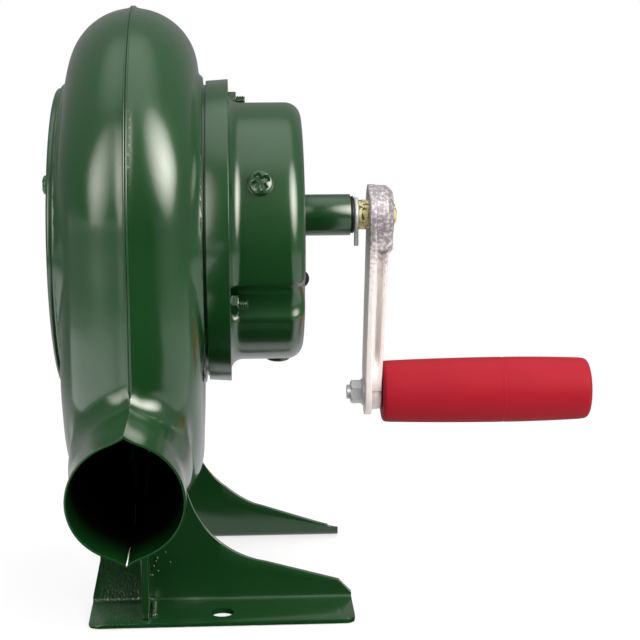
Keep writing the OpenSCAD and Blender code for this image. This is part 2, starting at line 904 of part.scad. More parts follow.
module arm_screw() {
    head = shaft_radius - 0.2;
    color("DarkKhaki")
        along_x(arm_out, crank_axis) {
            translate([0, 0, -10]) cylinder(r = shaft_radius * 0.5, h = 10.5);
            translate([0, 0, fit_gap])
                rotate_extrude()
                    intersection() {
                        translate([0, -(head * head - 4) / 4]) circle(r = (head * head + 4) / 4);
                        square([head, 2]);
                    }
        }
}

module grip_bolt() {
    color("Silver")
        along_x(0, grip_axis) {
            translate([0, 0, nut_a - 1.6]) cylinder(r = grip_bolt_radius, h = head_pocket - nut_a + 2);
            translate([0, 0, head_pocket + loose_gap]) cylinder(r = bolt_head_radius, h = 3.5);
        }
}

module grip_nut() {
    color("Silver")
        along_x(nut_a, grip_axis)
            difference() {
                union() {
                    cylinder(r = nut_flats / sqrt(3), h = 5, $fn = 6);
                    translate([0, 0, 4.4]) cylinder(r = nut_flats * 0.66, h = 1.2);
                }
                translate([0, 0, -1]) cylinder(r = grip_bolt_radius + fit_gap, h = 9);
            }
}

// Barrel grip with rounded ends, its bolt bore and a pocket for the bolt head.
module grip() {
    color("Crimson")
        along_x(0, grip_axis)
            rotate_extrude()
                difference() {
                    polygon([
                        [0, grip_a], [grip_end_radius - 1.5, grip_a], [grip_end_radius - 0.4, grip_a + 0.5],
                        [grip_end_radius, grip_a + 1.8], [grip_radius - 0.25, grip_fat - 18],
                        [grip_radius, grip_fat], [grip_radius - 0.2, grip_fat + 14],
                        [grip_end_radius, grip_b - 2.2], [grip_end_radius - 0.7, grip_b - 0.6],
                        [grip_end_radius - 2.2, grip_b], [0, grip_b]
                    ]);
                    translate([0, grip_a - 1]) square([grip_bore, grip_length + 2]);
                    translate([0, head_pocket]) square([bolt_head_radius + 1, 20]);
                }
}

module idler_gear() {
    color("SteelBlue")
        along_x(idler_a, idler_axis)
            difference() {
                rotate([0, 0, idler_dir + 180]) gear(idler_teeth, idler_width);
                translate([0, 0, -1]) cylinder(r = pinion_root - 0.25 + fit_gap, h = idler_width + 2);
            }
}

// Small middle pinion, its hub carries the large middle gear.
module idler_pinion() {
    color("SlateGray")
        along_x(0, idler_axis)
            difference() {
                union() {
                    translate([0, 0, small_a])
                        rotate([0, 0, crank_dir + 180 / pinion_teeth]) gear(pinion_teeth, small_b - small_a);
                    translate([0, 0, idler_a]) cylinder(r = pinion_root - 0.25, h = small_a - idler_a + 1);
                }
                translate([0, 0, idler_a - 1]) cylinder(r = idler_pin_radius + run_gap, h = 40);
            }
}

// Stepped shaft: thread for the nut, seat for the hub, collar, bearing part and pinion seat.
module fan_shaft() {
    color("Silver")
        along_x(0) {
            translate([0, 0, hub_a - 8]) cylinder(r = thread_radius, h = 9);
            translate([0, 0, hub_a + 0.4]) cylinder(r = fan_shaft_radius, h = pinion_a - hub_a - 0.4);
            translate([0, 0, shaft_collar]) cylinder(r = fan_shaft_radius + 1.8, h = 1.2);
            translate([0, 0, pinion_a - 1]) cylinder(r = thread_radius, h = pinion_b - pinion_a + 1.3);
        }
}

module fan_pinion() {
    color("SlateGray")
        along_x(pinion_a + fit_gap)
            difference() {
                rotate([0, 0, idler_dir + 180 / pinion_teeth]) gear(pinion_teeth, pinion_b - pinion_a);
                translate([0, 0, -1]) cylinder(r = thread_radius + fit_gap, h = 20);
            }
}

module impeller_hub() {
    color("DimGray")
        along_x(0)
            difference() {
                union() {
                    translate([0, 0, hub_a]) cylinder(r = fan_shaft_radius + 6, h = disc_a - hub_a - fit_gap);
                    translate([0, 0, disc_a - fit_gap - 2]) cylinder(r = fan_shaft_radius + 13, h = 2);
                }
                translate([0, 0, hub_a - 1]) cylinder(r = fan_shaft_radius + fit_gap, h = 20);
                hub_rivets(fit_gap);
            }
}

module hub_rivets(grow) {
    for (a = [45:90:315])
        rotate([0, 0, a])
            translate([fan_shaft_radius + 9.5, 0, disc_a - 4])
                cylinder(r = 1.5 + grow, h = 4 + fan_sheet + 1);
}

module blade_rivets(grow) {
    for (k = [0:blade_count - 1])
        for (r = [blade_in + 5, rivet_ring])
            rotate([0, 0, k * 360 / blade_count])
                translate([r, 4.2, disc_a - 3])
                    cylinder(r = 1.3 + grow, h = 3 + fan_sheet + 0.8);
}

module impeller_disc() {
    color("DimGray")
        along_x(0)
            difference() {
                translate([0, 0, disc_a]) cylinder(r = fan_radius, h = fan_sheet);
                translate([0, 0, disc_a - 1]) cylinder(r = fan_shaft_radius + fit_gap, h = fan_sheet + 2);
                hub_rivets(fit_gap);
                blade_rivets(fit_gap);
            }
}

// Bent sheet blades, each with a foot that is riveted to the disc.
module impeller_blades() {
    color("DimGray")
        along_x(0)
            difference() {
                for (k = [0:blade_count - 1])
                    rotate([0, 0, k * 360 / blade_count]) {
                        translate([blade_in, 0, blade_tip - blade_width])
                            cube([fan_radius - blade_in - 0.5, fan_sheet, blade_width]);
                        translate([blade_in + 1, 0, blade_tip - fan_sheet])
                            cube([fan_radius - blade_in - 3, 8, fan_sheet]);
                    }
                blade_rivets(fit_gap);
            }
}

module impeller_rivets() {
    color("Silver")
        along_x(0) {
            hub_rivets(0);
            blade_rivets(0);
        }
}

module impeller_nut() {
    color("Silver")
        along_x(hub_a - fit_gap - 5)
            difference() {
                union() {
                    cylinder(r = thread_radius * 1.9, h = 4, $fn = 6);
                    translate([0, 0, 3.6]) cylinder(r = thread_radius * 2.1, h = 1.4);
                }
                translate([0, 0, -1]) cylinder(r = thread_radius + fit_gap, h = 8);
            }
}

seated() volute_left_half();
seated() volute_right_half();
seated() front_foot();
seated() rear_foot();
seated() outlet_gusset();
seated() inlet_cover();
seated() inlet_screws();
seated() gear_plate();
seated() gear_case();
seated() case_screws();
seated() plate_bolts();
seated() plate_nuts();
seated() crank_sleeve();
seated() crank_bush();
seated() bearing_tube();
seated() fan_bush_inner();
seated() fan_bush_outer();
seated() idler_pin();
seated() idler_pin_screw();
seated() idler_spacers();
seated() crank_shaft();
seated() drive_gear();
seated() drive_pin();
seated() thrust_washer();
seated() shaft_clip();
seated() crank_arm();
seated() arm_screw();
seated() grip_bolt();
seated() grip_nut();
seated() grip();
seated() idler_gear();
seated() idler_pinion();
seated() fan_shaft();
seated() fan_pinion();
seated() impeller_hub();
seated() impeller_disc();
seated() impeller_blades();
seated() impeller_rivets();
seated() impeller_nut();
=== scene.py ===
import json
import math

import bmesh
import bpy
import numpy as np
from mathutils import Matrix, Vector


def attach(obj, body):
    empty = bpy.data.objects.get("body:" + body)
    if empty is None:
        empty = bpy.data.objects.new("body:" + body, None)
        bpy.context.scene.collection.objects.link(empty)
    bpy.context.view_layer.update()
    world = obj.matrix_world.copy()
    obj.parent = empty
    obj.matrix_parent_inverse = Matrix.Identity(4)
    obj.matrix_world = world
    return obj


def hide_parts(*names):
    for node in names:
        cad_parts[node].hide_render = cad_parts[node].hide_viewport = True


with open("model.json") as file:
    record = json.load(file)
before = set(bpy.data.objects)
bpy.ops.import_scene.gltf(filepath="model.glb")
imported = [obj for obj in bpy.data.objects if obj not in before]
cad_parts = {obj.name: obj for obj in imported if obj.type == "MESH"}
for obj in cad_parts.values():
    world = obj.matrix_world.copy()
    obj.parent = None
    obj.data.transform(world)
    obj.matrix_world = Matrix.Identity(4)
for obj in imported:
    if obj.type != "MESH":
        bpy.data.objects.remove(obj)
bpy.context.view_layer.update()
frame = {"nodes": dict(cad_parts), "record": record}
nodes = frame["nodes"]
mm = 0.001
seamX, axisZ = -32.3, 142.5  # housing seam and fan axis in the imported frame, mm
crankY, crankZ = 8.988, 5.042  # crank axis from the fan axis
gripZ = crankZ - 74.5
print("frame loaded:", len(nodes), "nodes")


def addNode(tree, kind, values=None, links=None, **settings):
    node = tree.nodes.new(kind)
    for name, value in settings.items():
        setattr(node, name, value)
    for name, value in (values or {}).items():
        node.inputs[name].default_value = value
    for name, source in (links or {}).items():
        tree.links.new(source, node.inputs[name])
    return node


def colour(hexText):
    parts = [int(hexText[i:i + 2], 16) / 255 for i in (1, 3, 5)]
    return (*[p / 12.92 if p <= 0.04045 else ((p + 0.055) / 1.055) ** 2.4 for p in parts], 1.0)


# camera, placed where the photograph was taken from
view = {"place": (6.9, -643.6, 224.0), "yaw": 0.053, "pitch": 0.182, "roll": -0.004, "lens": 90.06}
cameraData = bpy.data.cameras.new("camera")
cameraData.lens = view["lens"]
cameraData.sensor_width = 36
cameraData.clip_start, cameraData.clip_end = 0.01, 50
camera = bpy.data.objects.new("camera", cameraData)
bpy.context.scene.collection.objects.link(camera)
look = Vector((math.sin(view["yaw"]) * math.cos(view["pitch"]),
               math.cos(view["yaw"]) * math.cos(view["pitch"]), -math.sin(view["pitch"])))
camera.location = Vector(view["place"]) * mm
camera.rotation_mode = "QUATERNION"
camera.rotation_quaternion = look.to_track_quat("-Z", "Y") @ Matrix.Rotation(view["roll"], 3, "Z").to_quaternion()
bpy.context.scene.camera = camera


def output(tree, kind, values=None, links=None, **settings):
    return addNode(tree, kind, values, links, **settings).outputs[0]


def ramp(tree, source, low, high, start=0.0, end=1.0, shape="SMOOTHSTEP"):
    values = {"From Min": low, "From Max": high, "To Min": start, "To Max": end}
    return output(tree, "ShaderNodeMapRange", values, {"Value": source}, interpolation_type=shape)


def combined(tree, operation, *sources):
    return output(tree, "ShaderNodeMath", links=dict(enumerate(sources)), operation=operation)


def mixedShader(tree, share, first, second):
    return output(tree, "ShaderNodeMixShader", links={0: share, 1: first, 2: second})


# plain studio: pale table, white surround, two tall soft boxes
studio = {"front": 0.04, "side": 0.22, "above": 0.95, "warm": (1.0, 0.91, 0.89), "leftPower": 10.0, "rightPower": 34.0,
          "fill": (0.3, 3.6), "flank": 1.2, "tableGlow": 0.72, "target": (-0.04, -0.07, 0.19)}
card = {"left": -0.1, "right": 0.068, "edge": 0.02, "slant": 0.25, "leftNear": 1.4, "rightNear": 0.78, "behind": 0.22}
whiteLight = {"Color": (1, 1, 1, 1)}
bpy.context.scene.view_settings.view_transform = "Standard"
world = bpy.data.worlds.new("studio")
bpy.context.scene.world = world
world.use_nodes = True
sky = world.node_tree
sky.nodes.clear()
rays = addNode(sky, "ShaderNodeLightPath").outputs
direction = addNode(sky, "ShaderNodeTexCoord").outputs["Generated"]
facing = addNode(sky, "ShaderNodeSeparateXYZ", links={0: direction}).outputs
ahead = ramp(sky, facing["Y"], -0.97, -0.35, studio["front"], studio["side"])
above = ramp(sky, facing["Z"], 0.72, 1.0, 0.0, studio["above"])
mirrored = output(sky, "ShaderNodeBackground", whiteLight, {"Strength": combined(sky, "MAXIMUM", ahead, above)})
dome = ramp(sky, facing["Z"], 0.0, 1.0, *studio["fill"], "LINEAR")
flank = ramp(sky, combined(sky, "ABSOLUTE", facing["X"]), 0.3, 1.0, 0.0, studio["flank"], "LINEAR")
dim = ramp(sky, facing["Y"], -0.9, -0.2, 0.15, 1.0, "LINEAR")  # little light from behind the camera
fill = combined(sky, "MULTIPLY", combined(sky, "ADD", dome, flank), dim)
soft = output(sky, "ShaderNodeBackground", whiteLight, {"Strength": fill})
white = output(sky, "ShaderNodeBackground", {**whiteLight, "Strength": 1.0})
seen = combined(sky, "MAXIMUM", rays["Is Camera Ray"], rays["Is Transmission Ray"])
lit = mixedShader(sky, rays["Is Glossy Ray"], soft, mirrored)
addNode(sky, "ShaderNodeOutputWorld", links={"Surface": mixedShader(sky, seen, lit, white)})


def softBox(name, place, size, power):  # six panes behind one another, so that the light falls off towards the edge
    panes = (1.4, 1.22, 1.03, 0.83, 0.6, 0.35)
    place, target = Vector(place), Vector(studio["target"])
    for number, reach in enumerate(panes):
        lamp = bpy.data.lights.new(name, "AREA")
        lamp.shape = "ELLIPSE"
        lamp.size, lamp.size_y = size[0] * reach, size[1] * reach
        lamp.energy = power * reach ** 2 / 5.99  # each pane adds the same brightness
        lamp.color = studio["warm"]
        box = bpy.data.objects.new(name, lamp)
        box.location = place + (place - target) * 0.01 * number
        box.rotation_mode = "QUATERNION"
        box.rotation_quaternion = (target - place).to_track_quat("-Z", "Y")
        bpy.context.scene.collection.objects.link(box)


softBox("leftBox", (-0.66, -1.337, 0.70), (0.6, 1.42), studio["leftPower"])
softBox("rightBox", (0.88, -0.99, 0.92), (1.05, 1.3), studio["rightPower"])

tableMesh = bpy.data.meshes.new("table")
table = bpy.data.objects.new("table", tableMesh)
bpy.context.scene.collection.objects.link(table)
top = bmesh.new()
bmesh.ops.create_circle(top, cap_ends=True, segments=96, radius=4.0)
top.to_mesh(tableMesh)
top.free()
table.location.z = -0.0002
paper = bpy.data.materials.new("paperTable")  # matt white paper: no gloss, a soft shadow under the feet, white further off
paper.use_nodes = True
sheet = paper.node_tree
sheet.nodes.clear()
rays = addNode(sheet, "ShaderNodeLightPath").outputs
shown = combined(sheet, "MAXIMUM", rays["Is Camera Ray"], rays["Is Glossy Ray"])
shown = combined(sheet, "MAXIMUM", shown, rays["Is Transmission Ray"])
spot = addNode(sheet, "ShaderNodeTexCoord").outputs["Object"]
away = addNode(sheet, "ShaderNodeVectorMath", links={0: spot}, operation="LENGTH").outputs["Value"]
spots = addNode(sheet, "ShaderNodeSeparateXYZ", links={0: spot}).outputs
clear = ramp(sheet, away, 0.16, 0.34, studio["tableGlow"], 1.0)

# reflections find a dark card before the object and pale paper on both sides of it
onLeft = ramp(sheet, spots["X"], card["left"] + card["edge"], card["left"] - card["edge"])
slant = output(sheet, "ShaderNodeMath", {1: card["slant"]}, {0: spots["Y"], 2: spots["X"]}, operation="MULTIPLY_ADD")
onRight = ramp(sheet, slant, card["right"] - card["edge"], card["right"] + card["edge"])
leftTone = combined(sheet, "ADD", ramp(sheet, away, 0.5, 0.92, card["leftNear"], 0.1),
                    ramp(sheet, away, 0.98, 1.35, 0.0, 0.5))
rightTone = combined(sheet, "ADD", ramp(sheet, away, 0.72, 0.82, card["rightNear"], 0.04),
                     ramp(sheet, away, 1.02, 1.35, 0.0, 0.25))
beside = combined(sheet, "MAXIMUM", combined(sheet, "MULTIPLY", onLeft, leftTone),
                  combined(sheet, "MULTIPLY", onRight, rightTone))
rearTone = ramp(sheet, away, 0.1, 0.5, 2.4 * card["behind"], card["behind"])
rear = combined(sheet, "MULTIPLY", ramp(sheet, spots["Y"], 0.0, 0.015), rearTone)
front = combined(sheet, "MULTIPLY", ramp(sheet, spots["Y"], 0.015, 0.0), beside)
matt = output(sheet, "ShaderNodeBsdfDiffuse", {"Color": colour("#BEBEBE")})
glow = output(sheet, "ShaderNodeEmission", {**whiteLight, "Strength": 1.0})
paperLook = mixedShader(sheet, combined(sheet, "MULTIPLY", shown, clear), matt, glow)
mirrorLook = output(sheet, "ShaderNodeEmission", whiteLight, {"Strength": combined(sheet, "ADD", front, rear)})
bothLooks = mixedShader(sheet, rays["Is Glossy Ray"], paperLook, mirrorLook)
addNode(sheet, "ShaderNodeOutputMaterial", links={"Surface": bothLooks})
tableMesh.materials.append(paper)
print("studio ready")


def startMaterial(name):
    material = bpy.data.materials.new(name)
    material.use_nodes = True
    tree = material.node_tree
    tree.nodes.clear()
    coords = addNode(tree, "ShaderNodeTexCoord")
    shader = addNode(tree, "ShaderNodeBsdfPrincipled")
    addNode(tree, "ShaderNodeOutputMaterial", links={"Surface": shader.outputs[0]})
    return material, tree, coords.outputs["Object"], shader.inputs


def noise(tree, spot, size, detail, **values):  # size in mm
    node = addNode(tree, "ShaderNodeTexNoise", {"Scale": 1000 / size, "Detail": detail, **values}, {"Vector": spot})
    return node.outputs["Fac"]


def tinted(tree, share, first, second):  # two colours mixed, each a hex text or a socket
    node = addNode(tree, "ShaderNodeMix", links={0: share}, data_type="RGBA")
    for number, side in ((6, first), (7, second)):
        if isinstance(side, str):
            node.inputs[number].default_value = colour(side)
        else:
            tree.links.new(side, node.inputs[number])
    return node.outputs[2]


def bumped(tree, height, depth, strength=1.0, under=None):
    links = {"Height": height} if under is None else {"Height": height, "Normal": under}
    return output(tree, "ShaderNodeBump", {"Strength": strength, "Distance": depth * mm}, links)


def setUp(tree, inputs, values, links):
    for name, value in values.items():
        inputs[name].default_value = value
    for name, source in links.items():
        tree.links.new(source, inputs[name])


# sprayed gloss enamel on pressed sheet: deep bottle green, clear reflections broken by orange peel and dust nibs
# pipeShade is the near black of the painted shade deep inside the outlet pipe
enamel = {"dark": "#04260B", "light": "#083310", "pipeShade": "#040704", "cloud": 60, "peel": 1.6, "peelDepth": 0.012,
          "wave": 22,
          "waveDepth": 0.12, "nib": 9, "nibHeight": 0.08, "dry": 0.9, "dryHeight": 0.25, "roughness": 0.28, "skin": 0.14,
          "sheen": "#D8F4DA"}


def greenEnamel(name, paintedShade=False, coarse=False):
    material, tree, spot, inputs = startMaterial(name)
    paint = tinted(tree, noise(tree, spot, enamel["cloud"], 3), enamel["dark"], enamel["light"])
    wave = bumped(tree, noise(tree, spot, enamel["wave"], 2), enamel["waveDepth"])
    peel = bumped(tree, noise(tree, spot, enamel["peel"], 1.5), enamel["peelDepth"], 1.0, wave)
    nib = addNode(tree, "ShaderNodeTexVoronoi", {"Scale": 1000 / enamel["nib"]}, {"Vector": spot})
    nibTop = ramp(tree, nib.outputs["Distance"], 0.0, 0.045, 1.0, 0.0, "LINEAR")
    surface = bumped(tree, nibTop, enamel["nibHeight"], 0.5, peel)
    values = {"Roughness": enamel["roughness"], "IOR": 1.55, "Coat IOR": 1.6, "Coat Roughness": enamel["skin"],
              "Specular Tint": colour(enamel["sheen"]), "Coat Weight": 1.0}
    links = {}
    if paintedShade:  # painted shade: the inside of the outlet pipe is painted near black and its gloss is taken away, more so deeper in from the mouth
        inside = addNode(tree, "ShaderNodeAttribute", attribute_name="inside")
        inner = ramp(tree, inside.outputs["Fac"], 0.0, 1.0, 1.0, 0.0, "LINEAR")
        paint = tinted(tree, inner, enamel["pipeShade"], paint)
        gloss = output(tree, "ShaderNodeMath", {1: 0.5}, {0: inner}, operation="MULTIPLY")
        links = {"Coat Weight": inner, "Specular IOR Level": gloss}
    if coarse:  # dry overspray beside the strut
        side = addNode(tree, "ShaderNodeSeparateXYZ", links={0: spot}).outputs["X"]
        dry = ramp(tree, side, (seamX + 7.0) * mm, (seamX + 1.0) * mm, shape="LINEAR")
        speck = combined(tree, "MULTIPLY", noise(tree, spot, enamel["dry"], 2), dry)
        surface = bumped(tree, speck, enamel["dryHeight"], 0.8, surface)
    setUp(tree, inputs, values, {"Base Color": paint, "Normal": surface, "Coat Normal": surface, **links})
    return material


def plainMetal(name, hexText, roughness, metallic=1.0):
    material, tree, spot, inputs = startMaterial(name)
    grain = noise(tree, spot, 1000 / 900, 3)
    rough = ramp(tree, grain, 0.0, 1.0, roughness * 0.8, roughness * 1.25, "LINEAR")
    setUp(tree, inputs, {"Base Color": colour(hexText), "Metallic": metallic}, {"Roughness": rough})
    return material


# die cast aluminium: pale warm grey, cloudy from the mould, finely pitted; painted shade makes it darker towards the
# boss and in the hollows
cast = {"pale": "#EFE8E4", "cloud": "#8A868B", "creviceShade": "#958C8E", "cloudSize": 1.5, "pit": 0.8, "pitDepth": 0.2,
        "roughness": 0.4, "metallic": 0.6}


def castMetal():
    material, tree, spot, inputs = startMaterial("castAluminium")
    high = addNode(tree, "ShaderNodeSeparateXYZ", links={0: spot}).outputs["Z"]
    # painted shade: the cast colour runs darker grey towards the boss at the top and paler down the shank
    bossShade = ramp(tree, high, (axisZ + crankZ - 40) * mm, (axisZ + crankZ - 6) * mm, -0.36, 0.2, "LINEAR")
    cloud = combined(tree, "ADD", noise(tree, spot, cast["cloudSize"], 6, Roughness=0.65), bossShade)
    tone = tinted(tree, ramp(tree, cloud, 0.42, 0.72, shape="LINEAR"), cast["pale"], cast["cloud"])
    # painted shade: crevices found by ambient occlusion turn darker
    paintedShade = addNode(tree, "ShaderNodeAmbientOcclusion", {"Distance": 3.0 * mm}, samples=8)
    paint = tinted(tree, ramp(tree, paintedShade.outputs["AO"], 0.05, 0.65, shape="LINEAR"), cast["creviceShade"], tone)
    bump = bumped(tree, noise(tree, spot, cast["pit"], 3), cast["pitDepth"], 0.8)
    setUp(tree, inputs, {"Roughness": cast["roughness"], "Metallic": cast["metallic"]},
          {"Base Color": paint, "Normal": bump})
    return material


# moulded grip: deep red, satin, very fine grain that spreads the light
moulded = {"red": "#790917", "worn": "#800E1B", "patch": 14, "grain": 0.4, "grainDepth": 0.03, "roughness": 0.52,
           "specular": 0.1}


def redPlastic():
    material, tree, spot, inputs = startMaterial("redPlastic")
    paint = tinted(tree, noise(tree, spot, moulded["patch"], 3), moulded["red"], moulded["worn"])
    bump = bumped(tree, noise(tree, spot, moulded["grain"], 2), moulded["grainDepth"], 0.5)
    setUp(tree, inputs, {"Roughness": moulded["roughness"], "Specular IOR Level": moulded["specular"]},
          {"Base Color": paint, "Normal": bump})
    return material


# yellow passivated zinc, dusted with green overspray near the housing
zinc = {"yellow": "#EDE3B4", "amber": "#C9B26A", "spray": "#1B4A26", "patch": 3.0, "speck": 1.7, "roughness": 0.3}


def yellowZinc():
    material, tree, spot, inputs = startMaterial("yellowZinc")
    tone = tinted(tree, noise(tree, spot, zinc["patch"], 4), zinc["yellow"], zinc["amber"])
    cover = ramp(tree, noise(tree, spot, zinc["speck"], 3), 0.53, 0.58, shape="LINEAR")
    bright = ramp(tree, cover, 0.0, 1.0, 0.45, 0.0, "LINEAR")
    setUp(tree, inputs, {"Roughness": zinc["roughness"]},
          {"Base Color": tinted(tree, cover, tone, zinc["spray"]), "Metallic": bright})
    return material


# housing halves: one signed field of the spiral body, the side step and the pipe, melted together at the crease
shell = {"arcs": ((8, 8.7, 80), (8, -5.3, 94), (-6, -5.3, 108), (-6, -47.3, 66)), "front": 72, "pipeZ": -79.8,
         "pipeRadius": 21, "mouth": -110, "cusp": 2.6, "cuspSpread": 0.13, "crease": 10, "grid": 1.5, "wall": 0.8, "edge": 0.22,
         "stepEnd": 28, "stepMelt": 7, "slit": 0.45, "slitLength": 38,
         "ridge": 0.5, "ridgeWidth": 1.8, "square": 0.82, "slim": 1.9, "wave": 0.16, "seed": 4}
halves = {-1: {"node": "volute_left_half", "width": 27.0, "step": 61.0, "drop": -2.0, "neck": 1.03, "cut": 27.6},
          1: {"node": "volute_right_half", "width": 26.8, "step": 61.0, "drop": 0.4, "neck": 0.95, "cut": 27.08}}

finish = {
    "green_enamel": greenEnamel("greenEnamel"),
    "steel": plainMetal("brightSteel", "#C6CACC", 0.3, 0.6),
    "dark_steel": plainMetal("oiledSteel", "#3A3B3D", 0.42),
    "yellow_zinc": yellowZinc(),
    "bronze": plainMetal("bronze", "#B08552", 0.35),
    "cast_aluminium": castMetal(),
    "fan_sheet": plainMetal("galvanisedSheet", "#A9AEB1", 0.4),
    "red_plastic": redPlastic(),
}
# enamel with painted shade inside the outlet pipe
shadedInsideEnamel = greenEnamel("greenEnamelShadedInside", paintedShade=True)
bareEdgeHighlight = plainMetal("bareSheetEdgeHighlight", "#EEF2EE", 0.6, 0.0)  # cut steel edge without paint, coloured near white as a painted highlight
coarseEnamel = greenEnamel("greenEnamelDrySpray", coarse=True)
slotOf = {s["node"]: s["material_slot"] for s in frame["record"]["subparts"]}
bodyOf = {n: b for b, names in frame["record"]["behaviour"]["bodies"].items() for n in names}
for name, node in nodes.items():
    node.data.materials.clear()
    node.data.materials.append(finish[slotOf[name]])
print("materials set")


def place(points):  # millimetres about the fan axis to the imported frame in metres
    return (np.asarray(points, float) + (seamX, 0.0, axisZ)) * mm


def meshOf(name, points, faces):
    mesh = bpy.data.meshes.new(name)
    mesh.from_pydata(place(points).tolist(), [], [list(map(int, f)) for f in faces])
    return mesh


def cleaned(mesh, turn=True, flat=0.0):
    bm = bmesh.new()
    bm.from_mesh(mesh)
    bmesh.ops.remove_doubles(bm, verts=bm.verts, dist=0.002 * mm)
    if flat:
        bmesh.ops.dissolve_limit(bm, angle_limit=math.radians(flat), verts=bm.verts, edges=bm.edges)
    if turn:
        bmesh.ops.recalc_face_normals(bm, faces=bm.faces)
    bm.to_mesh(mesh)
    bm.free()
    return mesh


def modified(mesh, kind, keys=None, **settings):  # mesh after one modifier; keys hold the sockets of a node tree
    holder = bpy.data.objects.new("holder", mesh)
    bpy.context.scene.collection.objects.link(holder)
    step = holder.modifiers.new(kind.lower(), kind)
    for name, value in settings.items():
        if keys and name in keys:
            step[keys[name]] = value
        else:
            setattr(step, name, value)
    bpy.context.view_layer.update()
    result = bpy.data.meshes.new_from_object(holder.evaluated_get(bpy.context.evaluated_depsgraph_get()))
    bpy.data.objects.remove(holder)
    return result


def bevelled(mesh, width, angle, segments=2):
    return modified(mesh, "BEVEL", width=width * mm, segments=segments, limit_method="ANGLE",
                    angle_limit=math.radians(angle))


def endPiece(name, mesh, node, sharp=40, material=None,
             slotName=None):  # body and slot come from the node it stands for
    slotName = slotName or slotOf[node]
    mesh.shade_smooth()
    mesh.set_sharp_from_angle(angle=math.radians(sharp))
    mesh.materials.clear()
    mesh.materials.append(material or finish[slotName])
    mesh.name = name
    piece = bpy.data.objects.new(name, mesh)
    bpy.context.scene.collection.objects.link(piece)
    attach(piece, bodyOf[node])
    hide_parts(node)


def joined(*parts):
    points, faces, start = [], [], 0
    for p, f in parts:
        points.append(np.asarray(p, float))
        faces += [[int(i) + start for i in face] for face in f]
        start += len(p)
    return np.vstack(points), faces


def gridFaces(rows, columns, wrapRows=False):
    faces = []
    for i in range(rows if wrapRows else rows - 1):
        for j in range(columns):
            a, b = i * columns, (i + 1) % rows * columns
            k = (j + 1) % columns
            faces.append((a + j, a + k, b + k, b + j))
    return faces


def rounded(corners, steps=4):  # corners as (u, v, radius), each replaced by an arc
    out = []
    count = len(corners)
    for i, corner in enumerate(corners):
        p = np.array(corner[:2], float)
        r = corner[2] if len(corner) > 2 else 0
        if r == 0:
            out.append(p)
            continue
        a = np.array(corners[i - 1][:2], float) - p
        b = np.array(corners[(i + 1) % count][:2], float) - p
        reachA, reachB = np.linalg.norm(a), np.linalg.norm(b)
        a, b = a / reachA, b / reachB
        half = math.acos(max(-1, min(1, float(a @ b)))) / 2
        cut = min(r / math.tan(half), 0.49 * reachA, 0.49 * reachB)
        for t in np.linspace(0, 1, steps + 1):  # quadratic arc, close to round on these small corners
            out.append(p + a * cut * (1 - t) ** 2 + b * cut * t ** 2)
    return np.array(out)


def fullTurn(steps):
    return np.linspace(0, 2 * math.pi, steps, endpoint=False)


def turnedRows(rows, turn):  # rings as (x, radius), the radius one number or one for each step
    return np.vstack([np.column_stack((x + 0 * turn, r * np.cos(turn), r * np.sin(turn))) for x, r in rows])


def ringFace(row, count):
    return list(range(row * count, (row + 1) * count))


def lathe(profile, axis=(0, 0), steps=96, closed=True):  # profile as (x, radius) turned about an axis along X
    return turnedRows(profile, fullTurn(steps)) + (0, *axis), gridFaces(len(profile), steps, wrapRows=closed)


def softened(node, width, segments=2, reshape=None):  # CAD shape with broken edges
    mesh = nodes[node].data.copy()
    mesh.attributes.remove(mesh.attributes["custom_normal"])
    if reshape:
        spots = np.array([v.co for v in mesh.vertices]) / mm - (seamX, 0, axisZ)
        for v, spot in zip(mesh.vertices, place(reshape(spots))):
            v.co = spot
    cleaned(mesh, turn=False, flat=0.4)
    endPiece(node + ".soft", bevelled(mesh, width, 28, segments), node)


waveTurn = np.random.default_rng(shell["seed"]).normal(size=(7, 3))
waveTurn *= (2 * math.pi / np.linspace(34, 80, 7) / np.linalg.norm(waveTurn, axis=1))[:, None]


def easeIn(value, low, high):
    t = np.clip((value - low) / (high - low), 0, 1)
    return t * t * (3 - 2 * t)


def chord(radius, offset):
    return np.sqrt(np.maximum(radius ** 2 - offset ** 2, 0))


def outlineGap(y, z):
    (ya, za, ra), (yb, zb, rb), (yc, zc, rc), (yd, zd, rd) = shell["arcs"]
    return np.select([(y < ya) & (z >= za), (y >= yb) & (z >= zb), (y >= yc) & (z < zc), (y < yd) & (z < zd)],
                     [np.hypot(y - ya, z - za) - ra, np.hypot(y - yb, z - zb) - rb,
                      np.hypot(y - yc, z - zc) - rc, np.hypot(y - yd, z - zd) - rd], -shell["front"] - y)


def pipeReach(y):
    return shell["pipeRadius"] + 2.2 * easeIn(y, -88, -64) - 14 * easeIn(y, -64, -42)


def melt(a, b, k):
    h = np.clip(0.5 + 0.5 * (b - a) / k, 0, 1)
    return b * (1 - h) + a * h - k * h * (1 - h)


